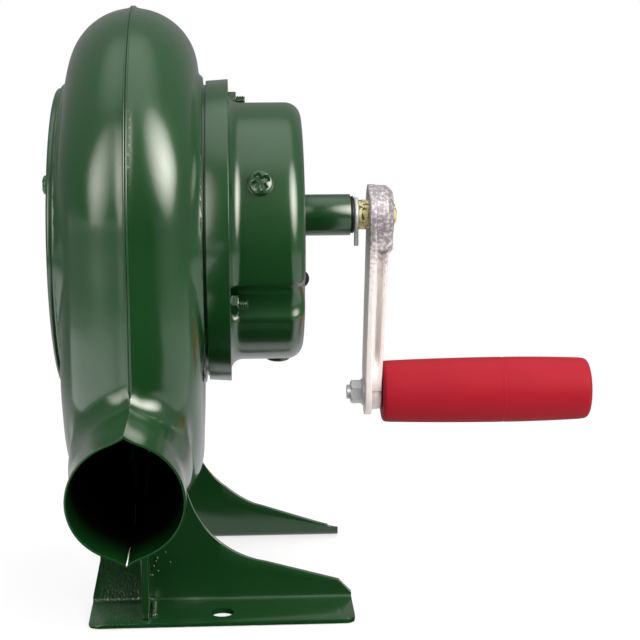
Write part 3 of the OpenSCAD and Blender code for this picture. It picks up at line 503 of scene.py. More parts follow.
def housingField(x, y, z, half):
    drop = half["drop"]
    width = half["width"] - shell["slim"] * easeIn(z, 25, 70)  # narrower at the top
    gap = outlineGap(y, z) + width
    power = 2 + shell["square"] * (1 - easeIn(np.abs(z), 25, 70)) * easeIn(-y, 10,
            40)  # flatter across the front at mid height
    across = (np.maximum(gap, 0) ** power + np.abs(x) ** power) ** (1 / power)
    body = across - width - shell["ridge"] * np.exp(-((x / shell["ridgeWidth"]) ** 2))
    up = z - shell["pipeZ"]
    turn = np.arctan2(x, np.abs(up))  # zero at the seam, runs on past it so that the cut edge stays clean
    cusp = shell["cusp"] * (1 - easeIn(y, -84, -60)) * np.exp(-np.clip(turn, -0.1, 2) / shell["cuspSpread"])
    pipe = np.maximum(np.hypot(x, up) - pipeReach(y) - cusp, y + 40)
    whole = melt(body, pipe, shell["crease"])
    around = np.hypot(y, z - drop)
    aim = half["step"] / np.maximum(around, 1)
    ringGap = np.maximum(outlineGap(y * aim, drop + (z - drop) * aim) + width, 0)
    base = np.maximum(width ** power - ringGap ** power, 0) ** (1 / power)
    whole = melt(whole, around - half["step"], np.clip(1.4 * (shell["stepEnd"] - base), 0.6, shell["stepMelt"]))
    spot = np.stack((x, y, z), -1) @ waveTurn.T
    return whole + shell["wave"] * np.sin(spot + np.arange(7)).sum(-1) / 3.5


def fieldSlope(p, half, d=0.05):
    f = lambda q: housingField(q[:, 0], q[:, 1], q[:, 2], half)
    return np.stack([(f(p + d * e) - f(p - d * e)) / (2 * d) for e in np.eye(3)], -1)


def netOfField(half):  # surface net on a regular grid, pulled onto the surface and evened out
    pitch = shell["grid"]
    axes = [np.arange(-3, half["width"] + 2.5, pitch), np.arange(shell["mouth"] - 4, 106, pitch),
            np.arange(-118, 93, pitch)]
    low = np.array([a[0] for a in axes])
    field = housingField(*np.meshgrid(*axes, indexing="ij"), half)
    cells = tuple(n - 1 for n in field.shape)
    total, count = np.zeros((*cells, 3)), np.zeros(cells)
    for axis in range(3):
        others = [a for a in range(3) if a != axis]
        for da in (0, 1):
            for db in (0, 1):
                corner = [None] * 3
                corner[others[0]], corner[others[1]] = slice(da, cells[others[0]] + da), slice(db,
                        cells[others[1]] + db)
                start, stop = list(corner), list(corner)
                start[axis], stop[axis] = slice(0, cells[axis]), slice(1, cells[axis] + 1)
                a, b = field[tuple(start)], field[tuple(stop)]
                cross = (a < 0) != (b < 0)
                total[..., axis] += np.where(cross, a / np.where(cross, a - b, 1), 0)
                total[..., others[0]] += cross * da
                total[..., others[1]] += cross * db
                count += cross
    used = count > 0
    index = np.full(cells, -1)
    index[used] = np.arange(used.sum())
    points = low + pitch * (np.argwhere(used) + total[used] / count[used][:, None])
    faces = []
    for axis in range(3):
        b, c = (axis + 1) % 3, (axis + 2) % 3
        start, stop = [slice(None)] * 3, [slice(None)] * 3
        start[axis], stop[axis] = slice(0, -1), slice(1, None)
        low0, high0 = field[tuple(start)] < 0, field[tuple(stop)] < 0
        at = np.argwhere(low0 != high0)
        at = at[(at[:, b] > 0) & (at[:, c] > 0) & (at[:, b] < cells[b]) & (at[:, c] < cells[c])]
        eb, ec = np.eye(3, dtype=int)[b], np.eye(3, dtype=int)[c]
        quad = np.stack([index[tuple((at - o).T)] for o in (0 * eb, eb, eb + ec, ec)], -1)
        outward = low0[tuple(at.T)]
        quad[~outward] = quad[~outward][:, ::-1]
        faces.append(quad)
    faces = np.vstack(faces)
    edges = np.vstack([faces[:, [i, (i + 1) % 4]] for i in range(4)])
    for turn in range(6):
        slope = fieldSlope(points, half)
        size = np.maximum((slope ** 2).sum(1), 1e-6)
        points -= slope * (housingField(*points.T, half) / size)[:, None]
        if turn < 4:  # slide towards the middle of the neighbours, within the surface
            near, number = np.zeros_like(points), np.zeros(len(points))
            for a, b in ((0, 1), (1, 0)):
                np.add.at(near, edges[:, a], points[edges[:, b]])
                np.add.at(number, edges[:, a], 1)
            move = near / np.maximum(number, 1)[:, None] - points
            normal = slope / np.sqrt(size)[:, None]
            points += 0.6 * (move - normal * (move * normal).sum(1)[:, None])
    return points, faces


def housingHalf(name, side):
    half = halves[side]
    points, faces = netOfField(half)
    bm = bmesh.new()
    spots = [bm.verts.new(p) for p in points]
    for face in faces:
        bm.faces.new([spots[i] for i in face])
    for point, normal in (((0.07, 0, 0), (-1, 0, 0)), ((0, shell["mouth"] + 0.05, 0), (0, -1, 0)),
                          ((half["cut"], 0, 0), (1, 0, 0))):
        bmesh.ops.bisect_plane(bm, geom=bm.verts[:] + bm.edges[:] + bm.faces[:], dist=1e-4, plane_co=point,
                               plane_no=normal, clear_outer=True)
    bmesh.ops.delete(bm, geom=[v for v in bm.verts if not v.link_faces], context="VERTS")
    slitStart = shell["mouth"] + shell["slitLength"]
    for v in bm.verts:  # the halves stand apart under the mouth
        x, y, z = v.co
        if y < slitStart and z < shell["pipeZ"] and x < 4:
            x += shell["slit"] * (slitStart - y) / shell["slitLength"] * (1 - x / 4)
        x *= 1 + (half["neck"] - 1) * easeIn(-z, 32, 60) * (1 - easeIn(-y, 84, 102))
        v.co = place((side * x, y, z))
    if side < 0:
        bmesh.ops.reverse_faces(bm, faces=bm.faces)
    mesh = bpy.data.meshes.new(name)
    bm.to_mesh(mesh)
    bm.free()
    outer = len(mesh.vertices)
    mesh = modified(mesh, "SOLIDIFY", thickness=shell["wall"] * mm, offset=-1, use_even_offset=True)
    # painted shade: the inner faces are marked to turn near black and lose their gloss over the first 24 mm in from the
    # mouth
    inside = mesh.attributes.new("inside", "FLOAT", "POINT")
    depth = easeIn(np.array([v.co.y / mm for v in mesh.vertices]), shell["mouth"], shell["mouth"] + 24)
    inside.data.foreach_set("value", ((np.arange(len(mesh.vertices)) >= outer) * depth).astype(np.float32))
    mesh = bevelled(mesh, shell["edge"], 60)
    endPiece(name, mesh, half["node"], sharp=50, material=shadedInsideEnamel)


housingHalf("volute_left_half.skin", -1)
housingHalf("volute_right_half.skin", 1)
print("housing skins made")
end = shell["stepEnd"]
rim = halves[1]["step"]
collar = {"grooveRadius": 58.3, "start": 59.95, "finish": 60.55, "wall": 0.8, "end": 37}
profile = rounded([(26.3, 57.5), (26.3, rim + 0.03), (end - 0.9, rim + 0.03, 0.35),
                   (end - 0.9, collar["grooveRadius"], 0.2),
                   (end + 0.3, collar["grooveRadius"], 0.2), (end + 0.3, collar["start"], 0.3), (collar["end"],
                           collar["finish"], 0.25),
                   (collar["end"], collar["finish"] - collar["wall"], 0.25), (end + 1.2,
                           collar["start"] - collar["wall"]), (end + 1.2, 57.5)])
mesh = cleaned(meshOf("collar", *lathe(profile, (0, 0.1), 192)))
endPiece("volute_right_half.collar", mesh, "volute_right_half", sharp=50)
rim, opening = halves[-1]["step"], 42
profile = rounded([(-26.3, rim - 1.5), (-26.3, rim + 0.03), (-end, rim + 0.03, 1.1), (-end, opening, 0.3),
                   (1.2 - end, opening, 0.3), (1.2 - end, rim - 1.5)])
mesh = cleaned(meshOf("step", *lathe(profile, (0, halves[-1]["drop"]), 192)))
endPiece("volute_left_half.step", mesh, "volute_left_half", sharp=50)
print("side rings made")


def startTree(name, **inputs):
    tree = bpy.data.node_groups.new(name, "GeometryNodeTree")
    keys = {}
    for label, kind in {"Geometry": "Geometry", **inputs, "Finish": "Material"}.items():
        keys[label] = tree.interface.new_socket(label, in_out="INPUT", socket_type="NodeSocket" + kind).identifier
    tree.interface.new_socket("Geometry", in_out="OUTPUT", socket_type="NodeSocketGeometry")
    return tree, addNode(tree, "NodeGroupInput").outputs, keys


def endTree(tree, given, geometry):
    whole = output(tree, "GeometryNodeRealizeInstances", links={"Geometry": geometry})
    coated = output(tree, "GeometryNodeSetMaterial", links={"Geometry": whole, "Material": given["Finish"]})
    addNode(tree, "NodeGroupOutput", links={0: coated})


# copies of one part, turned about an axis along X
aroundTree, given, aroundKeys = startTree("repeatAround", Count="Int", Start="Float", Step="Float")
spots = output(aroundTree, "GeometryNodePoints", links={"Count": given["Count"]})
number = output(aroundTree, "GeometryNodeInputIndex")
angle = combined(aroundTree, "MULTIPLY_ADD", number, given["Step"], given["Start"])
euler = output(aroundTree, "ShaderNodeCombineXYZ", links={"X": angle})
turned = output(aroundTree, "FunctionNodeEulerToRotation", links={0: euler})
copies = output(aroundTree, "GeometryNodeInstanceOnPoints",
                links={"Points": spots, "Instance": given["Geometry"], "Rotation": turned})
endTree(aroundTree, given, copies)

# a rounded bar along a path, for the seam lips
lipTree, given, lipKeys = startTree("sweptLip", Width="Float", Height="Float", Rounding="Float")
route = output(lipTree, "GeometryNodeMeshToCurve", links={0: given["Geometry"]})
bar = output(lipTree, "GeometryNodeCurvePrimitiveQuadrilateral", links={key: given[key] for key in ("Width", "Height")})
barRound = output(lipTree, "GeometryNodeFilletCurve", {"Count": 3}, {"Curve": bar, "Radius": given["Rounding"]},
                  mode="POLY")
swept = output(lipTree, "GeometryNodeCurveToMesh", {"Fill Caps": True}, {"Curve": route, "Profile Curve": barRound})
endTree(lipTree, given, swept)

# uneven beads on given points, for weld and spatter
beadTree, given, beadKeys = startTree("scatteredBeads", Smallest="Float", Largest="Float", Seed="Int")
bead = output(beadTree, "GeometryNodeMeshIcoSphere", {"Radius": 1.0, "Subdivisions": 3})
size = addNode(beadTree, "FunctionNodeRandomValue", links={2: given["Smallest"], 3: given["Largest"], 8: given["Seed"]},
               data_type="FLOAT").outputs[1]
beads = output(beadTree, "GeometryNodeInstanceOnPoints", links={"Points": given["Geometry"], "Instance": bead,
        "Scale": size})
endTree(beadTree, given, beads)


def grown(mesh, tree, keys, **values):
    return modified(mesh, "NODES", keys, node_group=tree, **values)


def repeated(points, faces, count, start, axis=(0, 0), step=None):  # part drawn about its own axis at angle zero
    mesh = bpy.data.meshes.new("single")
    mesh.from_pydata((np.asarray(points, float) * mm).tolist(), [], [list(map(int, f)) for f in faces])
    cleaned(mesh)
    result = grown(mesh, aroundTree, aroundKeys, Count=count, Start=math.radians(start),
                   Step=math.radians(step or 360 / count), Finish=finish["green_enamel"])
    result.transform(Matrix.Translation(Vector(place((0, *axis)))))
    return result


def stacked(*meshes):
    bm = bmesh.new()
    for mesh in meshes:
        bm.from_mesh(mesh)
    whole = bpy.data.meshes.new("whole")
    bm.to_mesh(whole)
    bm.free()
    return whole


# seam lips: two folded edges along the joint of the halves, with a fine dark gap between them
lip = {"width": 0.85, "height": 1.5, "rounding": 0.36, "gap": 0.03, "stand": 0.12}
arcs = shell["arcs"]
path = []
for k, (a, b) in ((3, (246, 180)), (0, (180, 90)), (1, (90, 0)), (2, (0, -90)), (3, (270, 252))):
    y, z, r = arcs[k]
    run = np.radians(np.arange(a, b, -1.5 if b < a else 1.5))
    path += [(y + (r + lip["stand"]) * math.cos(t), z + (r + lip["stand"]) * math.sin(t)) for t in run]
path = np.array(path)
path = path[(path[:, 1] > -59) | (path[:, 0] > -44)]  # the pipe swallows the rest
for side, node in ((-1, "volute_left_half"), (1, "volute_right_half")):
    line = bpy.data.meshes.new("line")
    spots = np.column_stack((np.full(len(path), side * (lip["gap"] + lip["width"] / 2)), path))
    line.from_pydata(place(spots).tolist(), [(i, i + 1) for i in range(len(spots) - 1)], [])
    mesh = grown(line, lipTree, lipKeys, Width=lip["width"] * mm, Height=lip["height"] * mm,
                 Rounding=lip["rounding"] * mm,
                 Finish=finish["green_enamel"])
    endPiece(node + ".lip", mesh, node, sharp=60)
print("seam lips swept")

# inlet cover: flat disc with a turned-in mouth, on the inlet side
cover = {"radius": 59.5, "inlet": 27, "in": -28.05, "out": -30.05, "lipEnd": -22.05, "wall": 1.2, "drop": -2,
         "bell": 4.5}
profile = rounded([(cover["in"], cover["radius"], 0.3), (cover["out"], cover["radius"], 1.3),
                   (cover["out"], cover["inlet"], cover["bell"]), (cover["lipEnd"], cover["inlet"], 0.4),
                   (cover["lipEnd"], cover["inlet"] + cover["wall"], 0.4),
                   (cover["in"], cover["inlet"] + cover["wall"], 2.5)], steps=6)
mesh = cleaned(meshOf("cover", *lathe(profile, (0, cover["drop"]), 160)))
endPiece("inlet_cover.plate", mesh, "inlet_cover")


def crossHead(radius, height, recess, tilt=0.5, steps=80,
              rows=20):  # pan head with a cross recess, drawn along +X from zero
    turn = fullTurn(steps)
    outer = [(0.0, radius * 0.97), (0.25 * height, radius), (0.45 * height, radius * 0.985)]
    inner = [(height * (0.45 + 0.55 * math.cos(t) ** 0.9),
              radius * 0.985 * math.sin(t)) for t in np.linspace(math.pi / 2 - 0.05, 0.02, rows)]
    x = np.array([p[0] for p in outer + inner])[:, None] + np.zeros(steps)
    r = np.array([p[1] for p in outer + inner])[:, None] + np.zeros(steps)
    u, v = r * np.cos(turn), r * np.sin(turn)
    reach = radius * 0.72
    along, over = u * math.cos(tilt) + v * math.sin(tilt), v * math.cos(tilt) - u * math.sin(tilt)
    slot = lambda a, b: easeIn(0.2 * radius - np.abs(a), -0.1 * radius, 0.04 * radius) * easeIn(reach - np.abs(b),
            -0.04 * radius, 0.16 * radius)
    x = x - recess * np.maximum(slot(along, over), slot(over, along))
    points = np.column_stack((x.ravel(), u.ravel(), v.ravel()))
    count = len(outer) + rows
    return points, gridFaces(count, steps) + [ringFace(count - 1, steps)]


def hexNut(flats, height, bore, steps=48):  # drawn along +X from zero
    turn = fullTurn(steps)
    corner = flats / 2 / np.cos((turn + math.pi / 6) % (math.pi / 3) - math.pi / 6)
    flat = flats / 2 * 0.985
    rows = [(0.0, bore), (0.0, flat), (0.35, np.minimum(corner, flats * 0.54)), (0.55, corner), (height - 0.6, corner),
            (height - 0.35, np.minimum(corner, flats * 0.54)), (height, flat), (height, bore + 0.45), (height - 0.45,
                    bore)]
    return turnedRows(rows, turn), gridFaces(len(rows), steps, wrapRows=True)


def threaded(radius, pitch, start, end, depth, steps=32):  # helical thread along +X with a chamfered end
    turn = fullTurn(steps)
    rows = []
    for x in np.arange(start, end - 0.01, pitch / 8):
        wave = np.abs(((x / pitch - turn / (2 * math.pi)) % 1) * 2 - 1)
        r = radius - depth * easeIn(wave, 0.1, 0.9)
        rows.append((x, np.minimum(r, radius - 0.9 * depth + (end - x))))
    rows.append((end, radius - depth))
    rows.append((end, 0.01))
    return turnedRows(rows, turn), gridFaces(len(rows), steps)


def shifted(part, x=0, y=0, z=0):
    return np.asarray(part[0], float) + (x, y, z), part[1]


def facingOut(part, radius, x):  # a part drawn along +X, set on a radius so that it points along +Y
    p = np.asarray(part[0], float)
    return np.column_stack((x - p[:, 1], radius + p[:, 0], p[:, 2])), part[1]


def mirroredX(part):
    return np.asarray(part[0], float) * (-1, 1, 1), [list(f)[::-1] for f in part[1]]


screw = {"coverHead": 3.6, "coverHeight": 2.2, "coverRing": 51, "caseHead": 4.9, "caseHeight": 2.6, "caseRadius": 51.8,
         "flange": 36.9}
head = mirroredX(crossHead(screw["coverHead"], screw["coverHeight"], 1.3))
stem = lathe([(0.1, 1.75), (-6, 1.75), (-6, 0.01)], (0, 0), 24, closed=False)
single = joined(shifted(head, cover["out"] - 0.05, screw["coverRing"]),
                shifted(mirroredX(stem), cover["out"], screw["coverRing"]))
endPiece("inlet_screws.heads", repeated(*single, 3, 30, (0, cover["drop"])), "inlet_screws", sharp=35)
caseScrew = joined(crossHead(screw["caseHead"], screw["caseHeight"], 1.9),
                   lathe([(0.1, 2.4), (-7, 2.4), (-7, 0.01)], (0, 0), 24, closed=False))
low = facingOut(caseScrew, screw["caseRadius"] + 0.05, screw["flange"] + 11.9)
far = facingOut(caseScrew, screw["caseRadius"] + 0.05, screw["flange"] + 19.2)
endPiece("case_screws.heads", stacked(repeated(*low, 2, 33, step=120), repeated(*far, 1, -87)),
         "case_screws", sharp=35)
bolt = {"ring": 52.1, "start": 85, "radius": 2.0, "pitch": 0.9, "nut": 7.0, "nutHeight": 3.2, "end": 43.7, "head": 3.4,
        "thread": 0.45}
boltHead = lathe([(31.45, 0.01), (31.45, bolt["head"] - 0.4), (31.85, bolt["head"]), (33.65, bolt["head"]),
                  (34.05, bolt["head"] - 0.4), (34.05, bolt["radius"]), (36, bolt["radius"])], steps=32, closed=False)
stud = joined(boltHead, threaded(bolt["radius"], bolt["pitch"], 36, bolt["end"], bolt["thread"]))
endPiece("plate_bolts.studs", repeated(*shifted(stud, 0, bolt["ring"]), 3, bolt["start"]), "plate_bolts")
nut = hexNut(bolt["nut"], bolt["nutHeight"], bolt["radius"] + 0.05)
endPiece("plate_nuts.hexes", repeated(*shifted(nut, screw["flange"] + 0.05, bolt["ring"]), 3, bolt["start"]),
         "plate_nuts", sharp=25)
print("fasteners placed")

# gear case: drawn cup with a flared foot and three pressed grooves
case = {"radius": 51.8, "flange": 59.0, "start": 35.7, "flangeOut": 36.9, "face": 65.7, "fillet": 6.5, "flare": 4.6,
        "wall": 1.2, "grooveDepth": 4.5, "grooveWidth": 16.5, "grooves": (205, 85, -35), "soft": 1.6, "land": 57.7}
steps = 360
turn = fullTurn(steps)
grooveRadius = ((case["grooveWidth"] / 2) ** 2 + case["grooveDepth"] ** 2) / (2 * case["grooveDepth"])
grooveCentre = case["radius"] - case["grooveDepth"] + grooveRadius
reach = np.full(steps, case["radius"])
for a in case["grooves"]:
    off = np.abs((turn - math.radians(a) + math.pi) % (2 * math.pi) - math.pi)
    side = grooveCentre * np.sin(np.minimum(off, 1.2))
    cut = np.where((side < grooveRadius) & (off < 1.2), grooveCentre * np.cos(off) - chord(grooveRadius, side), 99)
    reach = melt(reach, cut, case["soft"])
reach = np.minimum(reach, case["radius"])
flare = case["flare"] * (1 - 0.9 * easeIn(case["radius"] - reach, 0.2, 4))
rows = [(case["start"] + 0.05, case["flange"]), (case["flangeOut"] - 0.3, case["flange"]),
        (case["flangeOut"], case["flange"] - 0.3),
        (case["flangeOut"], case["land"]), (case["flangeOut"], reach + flare + 0.3)]
for a in np.radians((8, 20, 35, 50, 65, 78, 90)):
    rows.append((case["flangeOut"] + flare * (1 - np.cos(a)), reach + flare * (1 - np.sin(a))))
for t in np.linspace(0.1, 1, 8):
    low = case["flangeOut"] + flare
    rows.append((low + (case["face"] - case["fillet"] - low) * t, reach))
for a in np.radians((8, 18, 30, 42, 54, 66, 78, 90)):
    rows.append((case["face"] - case["fillet"] * (1 - np.sin(a)), reach - case["fillet"] * (1 - np.cos(a))))
for t in (0.93, 0.8, 0.6, 0.4, 0.2, 0.02):
    rows.append((case["face"], (reach - case["fillet"]) * t))
faces = gridFaces(len(rows), steps) + [ringFace(len(rows) - 1, steps)]
mesh = cleaned(meshOf("case", turnedRows(rows, turn), faces))
mesh = modified(mesh, "SOLIDIFY", thickness=case["wall"] * mm, offset=-1)
endPiece("gear_case.cup", mesh, "gear_case", sharp=45)
print("gear case made")

# feet: folded sheet angles, the web cut to the housing above it
foot = {"left": -18.4, "right": 83.0, "inner": 40.0, "outer": 42.0, "edge": 66.6, "bend": 3.5, "corner": 4.0,
        "holeX": 32.3, "holeQ": 56.8,
        "hole": 4.45, "arc": (56.2, 54.25, 38.0), "line": ((46.0, 17.8), (78.2, 8.9), (82.2, 4.6),
                (83.0, 3.9)), "seat": 0.1}


def underside(x, y):
    found = {}
    for side, half in halves.items():
        low, high = np.full(np.shape(x), -142.0), np.full(np.shape(x), -76.0)
        for _ in range(40):
            mid = (low + high) / 2
            outside = housingField(np.abs(x), y + 0 * x, mid, half) > foot["seat"]
            low, high = np.where(outside, mid, low), np.where(outside, high, mid)
        found[side] = low + axisZ
    return np.where(x > 0, found[1], found[-1])


def webTop(side):
    stations = list(np.linspace(-18.4, -15.2, 5)) + [-14.8, -14.4, -14.0, -13.6,
            -13.2] + list(np.arange(-12.5, 18.0, 1.5))
    arcX, arcZ, arcR = foot["arc"]
    run = np.radians(np.linspace(186, 254.3, 22))
    xs = np.concatenate((stations, arcX + arcR * np.cos(run)))
    edge = np.interp(xs, (-18.4, -15.2, -13.2), (3.9, 19.0, 66.0))
    edge = np.where(xs < arcX + arcR * math.cos(run[0]) - 1e-6, edge, arcZ - chord(arcR, xs - arcX))
    top = np.minimum(edge, np.where(xs < 26, underside(np.minimum(xs, 26.0), side * 41.0), 99))
    tail = np.array([(x, np.interp(x, *zip(*foot["line"]))) for x in (50, 55, 60, 65, 70, 74, 77.4, 78.2, 79, 80, 81,
            82.2, 82.6, 83.0)])
    xs, top = np.concatenate((xs, tail[:, 0])), np.concatenate((top, tail[:, 1]))
    if side > 0:  # the rear web falls off lower towards its end
        top = top - np.interp(xs, (34, 46, 60, 76, 79, 83), (0, 2.0, 2.8, 3.6, 3.4, 0))
    return xs, np.maximum(top, 3.9)


def footPiece(name, side, node):
    xs, top = webTop(side)
    fromEnd = np.minimum(xs - foot["left"], foot["right"] - xs)
    inset = foot["corner"] - chord(foot["corner"], np.maximum(foot["corner"] - fromEnd, 0))
    edge = foot["edge"] - inset + 0.12 * np.sin(xs * 0.9) * np.sin(xs * 0.37 + 1)
    edge = np.minimum(edge, foot["edge"])
    if side > 0:  # the rear flange is cropped towards its end
        edge = np.minimum(edge, np.interp(xs, (44, 83), (foot["edge"], 47.5)))
    rings = []
    centre = foot["inner"] + foot["bend"]
    for x, h, q in zip(xs, top, edge):
        ring = [(q - 0.45, 0), (q - 0.12, 0.12), (q, 0.45), (q, 1.55), (q - 0.12, 1.88), (q - 0.45, 2.0)]
        ring += [(centre + (q - 0.45 - centre) * t, 2.0) for t in (0.75, 0.5, 0.25)]
        ring += [(centre - 1.5 * math.sin(a), 3.5 - 1.5 * math.cos(a)) for a in np.radians((0, 22, 45, 67, 90))]
        ring += [(foot["outer"], 3.5 + (h - 0.35 - 3.5) * t) for t in (0.33, 0.66, 1)]
        ring += [(foot["outer"] - 0.12, h - 0.1), (foot["outer"] - 0.4, h), (foot["inner"] + 0.4, h),
                 (foot["inner"] + 0.12, h - 0.1)]
        ring += [(foot["inner"], 3.5 + (h - 0.35 - 3.5) * t) for t in (1, 0.66, 0.33)]
        ring += [(centre - foot["bend"] * math.cos(a),
                  foot["bend"] - foot["bend"] * math.sin(a)) for a in np.radians((0, 22, 45, 67, 90))]
        ring = np.array(ring)
        lean = np.clip(1 - (x - foot["left"]) / 7.5, 0, 1) * np.clip((ring[:, 0] - 46) / 20, 0, 1)
        if side < 0:  # the free front corner is ground off
            ring[:, 1] = np.where(ring[:, 1] > 1, ring[:, 1] - 1.1 * np.clip(lean * 1.6 - 0.3, 0,
                    1) * (ring[:, 0] > centre), ring[:, 1])
        rings.append(np.column_stack((np.full(len(ring), x), side * ring[:, 0], ring[:, 1] - axisZ)))
    count = len(rings[0])
    faces = gridFaces(len(rings), count) + [ringFace(0, count), ringFace(len(rings) - 1, count)]
    mesh = cleaned(meshOf(name, np.vstack(rings), faces))
    drill = cleaned(meshOf("drill", *lathe([(-3, 0.01), (-3, foot["hole"]), (5, foot["hole"]), (5, 0.01)], (0, 0), 64,
            closed=False)))
    drill.transform(Matrix.Translation(Vector(place((foot["holeX"], side * foot["holeQ"],
            -axisZ)))) @ Matrix.Rotation(-math.pi / 2, 4, "Y")
                    @ Matrix.Translation(-Vector(place((0, 0, 0)))))
    cutter = bpy.data.objects.new("cutter", drill)
    bpy.context.scene.collection.objects.link(cutter)
    mesh = modified(mesh, "BOOLEAN", operation="DIFFERENCE", solver="EXACT", object=cutter)
    bpy.data.objects.remove(cutter)
    endPiece(name, mesh, node, sharp=32, material=coarseEnamel if side < 0 else None)


footPiece("front_foot.angle", -1, "front_foot")
footPiece("rear_foot.angle", 1, "rear_foot")
softened("outlet_gusset", 0.5, 3)
weld = {"from": (5.7, -46.0), "to": (6.3, -59.5), "count": 22, "smallest": 0.55, "largest": 1.15, "seed": 5,
        "height": 2.35,
        "spatter": ((10.1, 21.7), (6.9, 19.4), (6.4, 18.1), (4.9, 12.4), (5.6, 16.1), (7.2, 14.0), (12.0, 17.5))}
chance = np.random.default_rng(weld["seed"])
run = np.linspace(0, 1, weld["count"])[:, None]
beads = np.array(weld["from"]) * (1 - run) + np.array(weld["to"]) * run + chance.normal(0, 0.22, (weld["count"], 2))
beads = np.column_stack((beads, np.full(weld["count"], weld["height"] - axisZ)))
dots = np.array([(x, -42.05, z - axisZ) for x, z in weld["spatter"]])
for name, spots, small, large, node in (("outlet_gusset.weld", beads, weld["smallest"], weld["largest"],
        "outlet_gusset"),
                                        ("front_foot.spatter", dots, 0.35, 0.6, "front_foot")):
    mesh = grown(meshOf("spots", spots, []), beadTree, beadKeys, Smallest=small * mm, Largest=large * mm,
                 Seed=weld["seed"], Finish=finish["green_enamel"])
    endPiece(name, mesh, node)

# bare sheet edge in the open joint under the mouth, coloured near white as a painted highlight
edge = {"from": -109.8, "to": -84.0, "rise": 0.12, "thick": 0.6, "half": 0.42}
strip = []
for y in np.linspace(edge["from"], edge["to"], 14):
    low = shell["pipeZ"] - float(pipeReach(np.array(y))) - shell["cusp"] * (1 - float(easeIn(np.array(y), -84,
            -60))) + shell["wall"] + edge["rise"]
    half = edge["half"] * (edge["to"] - y) / (edge["to"] - edge["from"]) + 0.06
    strip += [(-half, y, low), (half, y, low), (half, y, low - edge["thick"]), (-half, y, low - edge["thick"])]
mesh = cleaned(meshOf("edge", strip, gridFaces(14, 4) + [[0, 1, 2, 3], [52, 53, 54, 55]]))
endPiece("volute_left_half.edge", mesh, "volute_left_half", material=bareEdgeHighlight, slotName="steel")
print("feet folded")

# crank arm: die cast plate with a boss, a hollowed rib and a pad for the grip
arm = {"in": 93.7, "out": 103.6, "lowIn": 92.1, "lowOut": 99.1, "boss": 12.4, "end": 9.6, "plate": 2.7, "rib": 8.4,
       "pad": 7.2, "pocket": 2.8, "round": 0.35}
bendTop, bendLow = crankZ - arm["boss"] + 3, gripZ + arm["end"]


def armIn(z):
    return np.interp(z, (bendLow, bendTop), (arm["lowIn"], arm["in"]))


def armOut(z):
    return np.interp(z, (bendLow, crankZ - 15.6, crankZ - 13.0, crankZ), (arm["lowOut"], arm["in"] + 0.9 * arm["rib"],
            arm["out"] - 0.4, arm["out"] - 0.4))


def armHalf(z):
    bar = np.interp(z, (gripZ, crankZ), (arm["end"], arm["boss"] - 1))
    bossHalf = chord(arm["boss"], z - crankZ)
    endHalf = chord(arm["end"], z - gripZ)
    return np.where(z > crankZ, bossHalf, np.where(z < gripZ, endHalf, np.maximum(bar, bossHalf)))


def loftUp(levels, ringAt):
    rings = [ringAt(z) for z in levels]
    count = len(rings[0])
    points = np.vstack([np.column_stack((r[:, 0], r[:, 1], np.full(count, z))) for z, r in zip(levels, rings)])
    return points, gridFaces(len(rings), count) + [ringFace(0, count), ringFace(len(rings) - 1, count)]


def plateRing(z):
    low, half = float(armIn(z)), max(float(armHalf(z)), 0.3)
    burr = 0.35 * math.exp(-((z - crankZ - 10.5) / 2.0) ** 2)
    r = min(0.55, half * 0.5)
    return rounded([(low - burr, crankY - half, r), (low + arm["plate"], crankY - half, r),
                    (low + arm["plate"], crankY + half, r), (low, crankY + half, r)])


def ribRing(z):
    low, high, half = float(armIn(z)) + 1.5, float(armOut(z)), float(armHalf(z)) - 1.0
    down = easeIn(z, bendLow - 3.0, bendLow + 8) * easeIn(-z, -(crankZ - 13.0), -(crankZ - 14.8))
    lean = (z - bendLow) / (bendTop - bendLow)
    wide = np.array([0, 0.1, 0.24 + 0.1 * (1 - lean), 0.32 + 0.1 * (1 - lean), 0.5, 0.74 - 0.05 * (1 - lean),
                     0.82 - 0.06 * (1 - lean), 0.93, 1])
    dip = np.array([0.5, 0, 0, 1, 1, 1, 0, 0, 0.6]) * arm["pocket"] * down
    dip[0], dip[-1] = 0.15, 0.7
    xs = low + (high - low) * wide
    front = np.column_stack((xs, crankY - half + dip))
    rear = np.column_stack((xs[::-1], crankY + half - dip[::-1]))
    return np.vstack((front, rear))


levels = np.unique(np.concatenate((gripZ - arm["end"] * np.cos(np.linspace(0.02, math.pi / 2, 14)),
        np.linspace(gripZ, crankZ, 24),
                                   crankZ + arm["boss"] * np.sin(np.linspace(0, math.pi / 2 - 0.02, 16)))))
plate = loftUp(levels, plateRing)
rib = loftUp(np.concatenate((np.linspace(gripZ + 2, bendLow, 4), np.linspace(bendLow + 1, crankZ - 18, 20),
        np.linspace(crankZ - 17.5, crankZ - 1, 28))), ribRing)
boss = lathe(rounded([(arm["in"] + 0.2, 3, 0), (arm["in"] + 0.2, arm["boss"] - 0.1, 0.5),
                      (arm["out"] - 2.5, arm["boss"] - 0.45, 1.4), (arm["out"], arm["boss"] - 2.6, 1.0),
                      (arm["out"], 3, 0)], steps=6), (crankY, crankZ), 96)
pad = lathe(rounded([(arm["lowIn"] + 1.5, 3.05, 0), (arm["lowIn"] + 1.5, arm["pad"] + 0.5, 0),
                     (arm["lowOut"], arm["pad"], 0.9), (arm["lowOut"], 3.05, 0)], steps=5), (crankY, gripZ), 72)
mesh = cleaned(meshOf("arm", *joined(plate, rib, boss, pad)))
mesh = bevelled(mesh, arm["round"], 32)
endPiece("crank_arm.casting", mesh, "crank_arm", sharp=38)
print("crank arm cast")

